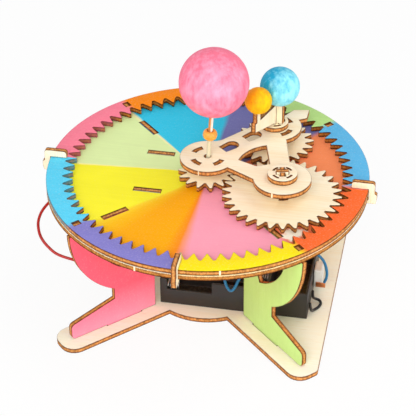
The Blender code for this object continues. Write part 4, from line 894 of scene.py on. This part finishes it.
# The table's cut walls inside the rim are drawn much darker, and its rim wall a little darker.
table_paint = painted_ply("table_paint", in_eighths(TABLE_COLOURS, TABLE_BORDERS, 0.003, MISSED_SPOT), 0.945, 0.1,
                          bridges=((-0.02167, -0.08477, 0.0),), bare_from=0.0795, wall_dimming=0.52, rim_dimming=0.8)
cut_sheet("orbit_table", "stand", table_paint, slot="table_paint")


# Toothed ring
# Ring with 68 inner teeth, cut from the same sheet and pinned to the table by the legs' long tabs. Its eighths
# are painted in other colours than the table's, over the teeth as well.

RING_TEETH, RING_TIP, RING_ROOT, RING_RIM = 68, 0.0731, 0.0786, 0.0875
RING_SHARES = (0.90, 0.16)  # of the pitch, that a gap takes at the teeth's tips and at their roots
RING_GAP = pi / 4  # direction of one gap
RIM_POINTS = 144
TAB_INNER, TAB_OUTER, TAB_HALF = 0.0804, 0.0849, 0.0018
RING_COLOURS = [rgb(91, 213, 247), rgb(136, 130, 204), rgb(254, 230, 16), rgb(253, 109, 46),
                rgb(94, 186, 234), rgb(188, 228, 138), rgb(255, 140, 0), rgb(254, 131, 154)]


def toothed_tree():
    """Geometry nodes: a flat plate with a toothed edge, filled round any holes and given its thickness.
    Each tooth gap takes six points, three on either flank. A rim makes the teeth point inwards."""
    tree, given = new_tree("toothed_plate", Int=("Teeth", "Rim Points"), Float=(
        "Tip Radius", "Middle Radius", "Root Radius", "Tip Share", "Middle Share", "Root Share", "Gap Angle",
        "Thickness", "Rim Radius"), Vector=("Centre",), Object=("Holes",), Material=("Finish",))

    def circle(points, radius):
        return built(tree, "CurvePrimitiveCircle", {"Resolution": points, "Radius": radius})

    index = add_node(tree, "GeometryNodeInputIndex")[0]
    tooth = calc("FLOOR", calc("DIVIDE", plus(index, 0.5), 6.0))
    step = calc("ROUND", minus(index, times(tooth, 6.0)))
    side = minus(times(calc("GREATER_THAN", step, 2.5), 2.0), 1.0)
    level = minus(calc("ABSOLUTE", minus(step, 2.5)), 0.5)

    def by_level(kind):
        inner = between(calc("COMPARE", level, 1.0, 0.1), given["Root" + kind], given["Middle" + kind])
        return between(calc("COMPARE", level, 2.0, 0.1), inner, given["Tip" + kind])

    radius, share = by_level(" Radius"), by_level(" Share")
    pitch = calc("DIVIDE", 2 * pi, given["Teeth"])
    aside = times(times(side, share), 0.5)
    angle = plus(given["Gap Angle"], times(pitch, plus(tooth, aside)))
    place = add_node(tree, "CombineXYZ", {"X": times(radius, calc("COSINE", angle)),
                                          "Y": times(radius, calc("SINE", angle))})[0]
    toothed = built(tree, "SetPosition", {"Geometry": circle(times(given["Teeth"], 6.0), 1.0), "Position": place})
    rim = built(tree, "Switch", {
        "Switch": calc("GREATER_THAN", given["Rim Radius"], 0.0),
        "True": circle(given["Rim Points"], given["Rim Radius"])}, input_type="GEOMETRY")
    holes = add_node(tree, "GeometryNodeObjectInfo", {"Object": given["Holes"]})["Geometry"]
    filled = built(tree, "FillCurve", {"Curve": joined(tree, toothed, rim, holes)})
    up = add_node(tree, "CombineXYZ", {"Z": 1.0})[0]
    raised = built(tree, "ExtrudeMesh", {"Mesh": filled, "Offset": up, "Offset Scale": given["Thickness"],
                                         "Individual": False})
    under = built(tree, "FlipFaces", {"Mesh": filled})
    closed = built(tree, "MergeByDistance", {"Geometry": joined(tree, raised, under), "Distance": WELD})
    placed = built(tree, "Transform", {"Geometry": closed, "Translation": given["Centre"]})
    return end_tree(tree, placed, given["Finish"])


TOOTHED_TREE = toothed_tree()


def turn_points(points, angle):
    c, s = cos(angle), sin(angle)
    return [(c * x - s * y, s * x + c * y) for x, y in points]


def hole_curve(name, outlines):
    curve = bpy.data.curves.new(name, "CURVE")
    curve.dimensions = "2D"
    curve.fill_mode = "NONE"
    for outline in outlines:
        spline = curve.splines.new("POLY")
        spline.points.add(len(outline) - 1)
        for point, (x, y) in zip(spline.points, outline):
            point.co = (x, y, 0.0, 1.0)
        spline.use_cyclic_u = True
    return in_scene(name, curve)


def toothed_plate(node, body, slot, material, centre, teeth, radii, shares, gap_angle, holes, rim=0.0):
    """Plate with teeth. radii and shares are those of a gap at the teeth's tips, half way down and at their
    roots."""
    low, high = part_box(node)
    cut = hole_curve(node + "_holes", holes)
    values = {"Teeth": teeth, "Gap Angle": gap_angle, "Centre": (*centre, low.z), "Thickness": high.z - low.z,
              "Rim Radius": rim, "Rim Points": RIM_POINTS, "Holes": cut, "Finish": material}
    for level, radius, share in zip(("Tip", "Middle", "Root"), radii, shares):
        values[level + " Radius"], values[level + " Share"] = radius, share
    plate = grown(node + "_plate", TOOTHED_TREE, values)
    shape = merged(plate.data)
    bmesh.ops.recalc_face_normals(shape, faces=shape.faces)
    for spent in (plate, cut):
        bpy.data.objects.remove(spent, do_unlink=True)
    dress_sheet(shape, node, body, slot, material, UP, EAST, FINE_BAND)


def half_way(ends, factor):
    return ends[0], sum(ends) / 2 * factor, ends[1]


ring_paint = painted_ply("ring_paint", in_eighths(RING_COLOURS), 0.92, 2.1, bridges=((0.02238, -0.08459, 0.0),),
                         specks=0.2, wall_dimming=0.62, run=1.2)
tab = [(TAB_INNER, -TAB_HALF), (TAB_OUTER, -TAB_HALF), (TAB_OUTER, TAB_HALF), (TAB_INNER, TAB_HALF)]
toothed_plate("toothed_ring", "stand", "ring_paint", ring_paint, (0.0, 0.0), RING_TEETH,
              half_way((RING_TIP, RING_ROOT), 1.0), half_way(RING_SHARES, 1.05), RING_GAP,
              [turn_points(tab, radians(a)) for a in (-135, -45, 45, 135)], RING_RIM)


# Rim clips
# Four small bare plywood clips that spring over the edge and hold the ring down on the table.

for side, clip_angle in (("front", -90), ("right", 0), ("back", 90), ("left", 180)):
    cut_sheet("rim_clip_" + side, "stand", bare_ply("clip_ply_" + side, clip_angle * 0.01), clip_angle,
              band=FINE_BAND)


# Centre drive
# Steel shaft from the gearbox, a 14 tooth gear and a pale tube on it. Above the arm a thin stick, which leans a
# little, carries an orange rubber collar and the sun, a 37 mm foam ball brushed pink.

MODULE = 0.002
SUN_TEETH, PLANET_TEETH, EARTH_TEETH = 14, 30, 20
TOOTH_DEPTH, TOOTH_HEIGHT = 1.3, 1.0  # below and above the pitch circle, in modules
FLANK_MIDDLE = 0.45  # of the way from a tooth's root to its tip
GEAR_SHARES = (0.84, 0.20)  # of the pitch, that a gap takes at the teeth's tips and at their roots
ORBIT_RADIUS, PLANET_ANGLE = 0.0446, radians(-16.9)
EARTH_REACH, EARTH_DIRECTION = 0.0504, radians(103.63)
STICK_LEAN, STICK_TOWARDS = radians(3.9), radians(11.0)
STICK_AXIS = Vector((sin(STICK_LEAN) * cos(STICK_TOWARDS), sin(STICK_LEAN) * sin(STICK_TOWARDS), cos(STICK_LEAN)))
SHAFT_RADIUS = 0.0018
BORE_WITHIN = 0.93  # of a ball's radius, the reach of its bore's end
BALL_WAVES = 14
BALL_UNEVEN = 0.0025  # of its radius
COLLAR_TOP = (0.1025, 0.1030)  # heights between which the stick's waxy part gives way to its tan part with a painted highlight


def arc_points(radius, start, end, steps):
    return [(radius * cos(a), radius * sin(a)) for a in np.linspace(start, end, steps + 1)]


def plan_point(radius, angle):
    return Vector((cos(angle), sin(angle))) * radius


def nearest_share(angle, pitch):
    return angle / pitch - round(angle / pitch)


def planet_gap():
    """The large gear has a tooth in the ring's nearest gap."""
    own = 2 * pi / PLANET_TEETH
    return PLANET_ANGLE + nearest_share(RING_GAP - PLANET_ANGLE, 2 * pi / RING_TEETH) * own + own / 2


def partner_gap(teeth, direction):
    """A gear that lies in a direction from the large gear has a gap for that one's nearest tooth."""
    own = 2 * pi / PLANET_TEETH
    return direction + pi - nearest_share(planet_gap() + own / 2 - direction, own) * 2 * pi / teeth


def gear(node, body, wood, shift, centre, teeth, gap_angle, holes):
    root, tip = MODULE * (teeth / 2 - TOOTH_DEPTH), MODULE * (teeth / 2 + TOOTH_HEIGHT)
    toothed_plate(node, body, "bare_ply", bare_ply(wood, shift, wall_dimming=0.8), centre, teeth,
                  (tip, root + FLANK_MIDDLE * (tip - root), root), half_way(GEAR_SHARES, 0.93), gap_angle, holes)


def stick_material():
    """Bamboo: tan with a painted highlight down one side, whiter and waxy below the collar."""
    material, tree, shader = new_material("stick", 0.35)
    place = object_place(tree)
    fibre = noise(place, 1.0, 3.0, stretch=(3000.0, 3000.0, 90.0))
    lean = tan(STICK_LEAN)
    across = vector_calc("DOT_PRODUCT", place, (cos(STICK_TOWARDS), sin(STICK_TOWARDS), -lean))
    centred = plus(across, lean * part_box("sun_stick")[0].z)
    # The pale side above the collar is a painted highlight.
    painted_highlight = mapped(times_plus(fibre, 0.0012, centred), 0.0004, 0.0009)
    warm = mixed(painted_highlight, rgb(206, 134, 76), rgb(255, 246, 228))
    cool = mixed(fibre, rgb(255, 248, 214), rgb(164, 150, 112))
    above = mapped(part_of(place, "Z"), *COLLAR_TOP)
    dress(tree, shader, 0.00003, mixed(above, cool, warm), fibre)
    return material


def soft_solid(node, body, slot, material):
    """Copy of a small turned solid with finer, rounder faces."""
    shape = merged(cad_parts[node].data)
    bmesh.ops.join_triangles(shape, faces=shape.faces, angle_face_threshold=0.5, angle_shape_threshold=3.1)
    piece = changed(from_shape(node + "_soft", shape), "SUBSURF", levels=2, render_levels=2)
    finished(piece, node, body, slot, material)


def foam_group():
    """Brushed poster paint on moulded foam: bead seams, small pits, strokes, and painted shade towards one side with
    painted light away from it.
    """
    tree, given = new_group("painted_foam", {
        "Thick": (0.8, 0.3, 0.4, 1.0), "Thin": (1.0, 0.6, 0.7, 1.0), "Centre": (0.0, 0.0, 0.0),
        "Painted Shade Side": (0.0, 0.0, 0.0), "Side Limit": 1.0, "Cover": 0.0, "Patch Scale": 70.0, "Bead Scale": 420.0,
        "Pits": 0.25})
    centred = vector_calc("SUBTRACT", object_place(tree), given["Centre"])
    beads = {"Vector": centred, "Scale": given["Bead Scale"]}
    edge = add_node(tree, "TexVoronoi", beads, feature="DISTANCE_TO_EDGE")["Distance"]
    seams = mapped(edge, 0.0, 0.10, interpolation_type="SMOOTHSTEP")
    cells = add_node(tree, "TexVoronoi", beads)
    chosen = add_node(tree, "SeparateColor", {"Color": cells["Color"]})["Red"]
    pits = times(mapped(cells["Distance"], 0.20, 0.08), calc("GREATER_THAN", chosen, 0.8))
    patches = noise(centred, given["Patch Scale"], 4.0, 1.2)
    slanted = add_node(tree, "Mapping", {"Vector": centred, "Scale": (2.6, 2.6, 1.0),
                                         "Rotation": (0.3, 0.5, 0.2)})[0]
    streaks = noise(slanted, 170.0, 4.0)
    # Painted shade and light: the paint darkens towards the given side, up to the limit, and pales away from it.
    turned = vector_calc("DOT_PRODUCT", centred, given["Painted Shade Side"])
    with_painted_shade = minus(plus(patches, streaks), calc("MINIMUM", turned, given["Side Limit"]))
    share = mapped(minus(with_painted_shade, given["Cover"]), 0.72, 1.30)
    paint = mixed(share, given["Thick"], given["Thin"])
    kept = minus(mapped(seams, 0.0, 1.0, 0.93, 1.0), times(pits, given["Pits"]))
    relief = times_plus(streaks, 0.5, seams)
    return end_group(tree, Colour=scaled(paint, kept),
                     Roughness=mapped(share, 0.0, 1.0, 0.55, 0.75), Height=minus(relief, pits))


PAINTED_FOAM = foam_group()


def foam_paint(name, node, thick, thin, patch, painted_shade_side, limit, cover):
    low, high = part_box(node)
    material, tree, shader = new_material(name, 0.65, specular=0.25)
    dress_with(tree, shader, 0.00005, PAINTED_FOAM, {
        "Thick": thick, "Thin": thin, "Centre": tuple((low + high) / 2), "Side Limit": limit, "Cover": cover,
        "Painted Shade Side": tuple(Vector(painted_shade_side) / ((high.x - low.x) / 2)), "Patch Scale": patch, "Pits": 0.2})
    return material


def foam_ball(node, body, slot, axis, detail, seed, name, *paint, limit=1.0, cover=0.0):
    """Finer ball in the place of a CAD ball, with the same bore and a slightly uneven skin."""
    low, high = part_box(node)
    radius = (high.x - low.x) / 2
    centre = Vector(((low.x + high.x) / 2, (low.y + high.y) / 2, high.z - radius))
    source = merged(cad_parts[node].data)
    end_ring = [v.co.copy() for v in source.verts if (v.co - centre).length < radius * BORE_WITHIN]
    source.free()
    bore_end = sum(end_ring, Vector()) / len(end_ring)
    bore_radius = max((p - bore_end).cross(axis).length for p in end_ring)
    shape = bmesh.new()
    bmesh.ops.create_icosphere(shape, subdivisions=detail, radius=1.0)
    rng = np.random.default_rng(seed)
    waves = [(Vector(rng.normal(size=3)).normalized() * rng.uniform(2.0, 9.0), rng.uniform(0, 6.28))
             for _ in range(BALL_WAVES)]
    for vert in shape.verts:
        way = vert.co.normalized()
        swell = sum(sin(way.dot(direction) + phase) for direction, phase in waves) / len(waves)
        vert.co = centre + way * radius * (1.0 - BALL_UNEVEN + BALL_UNEVEN * max(-1.0, min(1.0, swell * 2.0)))
    piece = from_shape(node + "_foam", shape)
    drill_shape = bmesh.new()
    bmesh.ops.create_cone(drill_shape, cap_ends=True, segments=28, radius1=bore_radius, radius2=bore_radius,
                          depth=radius * 3)
    turn = Vector(UP).rotation_difference(axis).to_matrix().to_4x4()
    drill_shape.transform(Matrix.Translation(bore_end - axis * radius * 1.5) @ turn)
    drill = from_shape("drill", drill_shape)
    changed(piece, "BOOLEAN", operation="DIFFERENCE", solver="EXACT", object=drill)
    bpy.data.objects.remove(drill, do_unlink=True)
    finished(piece, node, body, slot, foam_paint(name, node, *paint, limit, cover), 40)


gear("sun_gear", "sun_drive", "sun_gear_ply", 3.3, (0.0, 0.0), SUN_TEETH, partner_gap(SUN_TEETH, PLANET_ANGLE + pi),
     [arc_points(SHAFT_RADIUS, 0, 2 * pi, 24)[:-1]])
carried("drive_shaft", PLATED)
carried("shaft_sleeve", mottled("sleeve_tube", rgb(232, 226, 210), 0.28, 0.06, 500.0,
                                soft=(0.3, (0.001, 0.001, 0.001))))
carried("sun_stick", stick_material())
soft_solid("stick_collar", "sun_drive", "orange_rubber",
           mottled("collar_orange", rgb(244, 168, 64), 0.42, 0.14, 420.0, 0.00002,
                   soft=(0.25, (0.002, 0.001, 0.0005))))
# The sun's paint carries painted light on its front and top, and painted shade towards the back.
foam_ball("sun_ball", "sun_drive", "sun_foam", STICK_AXIS, 6, 5, "sun_pink", rgb(250, 119, 148),
          rgb(252, 165, 192), 75.0, (-0.02, 0.34, -0.08), limit=0.04, cover=0.25)


# Carrier arm
# One bare plywood plate that joins the three gear axes and turns on the centre shaft. A pointer past the earth's
# end shows the season.

ARM_BRIDGES = ((-0.0021, -0.0145, 0.0), (0.0395, -0.0281, 0.0))
cut_sheet("carrier_arm", "orbit_arm", bare_ply("arm_ply", 5.2, ARM_BRIDGES))


# Large gear
# 30 teeth. Its axle is two plywood strips slotted into a cross, and a washer on top holds it under the arm.

PLANET_AXIS = plan_point(ORBIT_RADIUS, PLANET_ANGLE)
PLANET_TURN = 11.0  # degrees, of the axle's first strip
SLOT_RADIUS, SLOT_WIDTH = 0.006, 0.0017
SLOT_SPAN, SLOT_START = radians(46), radians(16.3)
CROSS_HALF, STRIP_HALF = 0.0035, 0.0018


def gear_holes(degrees):
    """Cross for the axle, turned by an angle, and four curved slots round it."""
    quarter = [(CROSS_HALF, -STRIP_HALF), (CROSS_HALF, STRIP_HALF), (STRIP_HALF, STRIP_HALF)]
    quarters = [k * pi / 2 for k in range(4)]
    holes = [[p for turn in quarters for p in turn_points(quarter, radians(degrees) + turn)]]
    for turn in quarters:
        start, end = SLOT_START + turn - SLOT_SPAN / 2, SLOT_START + turn + SLOT_SPAN / 2
        holes.append(arc_points(SLOT_RADIUS + SLOT_WIDTH / 2, start, end, 8)
                     + arc_points(SLOT_RADIUS - SLOT_WIDTH / 2, end, start, 8))
    return holes


gear("planet_gear", "planet", "planet_ply", 6.4, PLANET_AXIS, PLANET_TEETH, planet_gap(), gear_holes(PLANET_TURN))
for strip, strip_turn in (("a", PLANET_TURN), ("b", PLANET_TURN + 90.0)):
    cut_sheet("planet_axle_" + strip, "planet", bare_ply("axle_ply_" + strip, 7.0 + strip_turn), strip_turn,
              band=FINE_BAND)
cut_sheet("planet_washer", "planet", bare_ply("planet_washer_ply", 8.1), band=THIN_BAND)


# Earth and moon
# A 20 tooth gear, a round hub, and two crossed plates: one reaches out to carry the moon, the other stands up
# into the earth. Both balls are foam, brushed blue and yellow.

EARTH_AXIS = PLANET_AXIS + plan_point(EARTH_REACH, EARTH_DIRECTION)
gear("earth_gear", "earth_moon", "earth_gear_ply", 9.2, EARTH_AXIS, EARTH_TEETH,
     partner_gap(EARTH_TEETH, EARTH_DIRECTION), gear_holes(-110.0))
cut_sheet("earth_hub", "earth_moon", bare_ply("earth_hub_ply", 10.3), band=THIN_BAND)
for plate, plate_turn in (("moon_arm", -110.0), ("earth_post", -20.0)):
    cut_sheet(plate, "earth_moon", bare_ply(plate + "_ply", 11.0 + plate_turn * 0.1), plate_turn, band=FINE_BAND)
# The earth's and the moon's paint carry painted shade on their left and painted light on their right.
foam_ball("earth_ball", "earth_moon", "earth_foam", Vector(UP), 5, 12, "earth_blue", rgb(28, 168, 208),
          rgb(160, 243, 254), 90.0, (-0.30, 0.04, 0.10))
foam_ball("moon_ball", "earth_moon", "moon_foam", Vector(UP), 5, 8, "moon_yellow", rgb(250, 164, 0),
          rgb(252, 204, 0), 150.0, (-0.28, -0.05, 0.10))
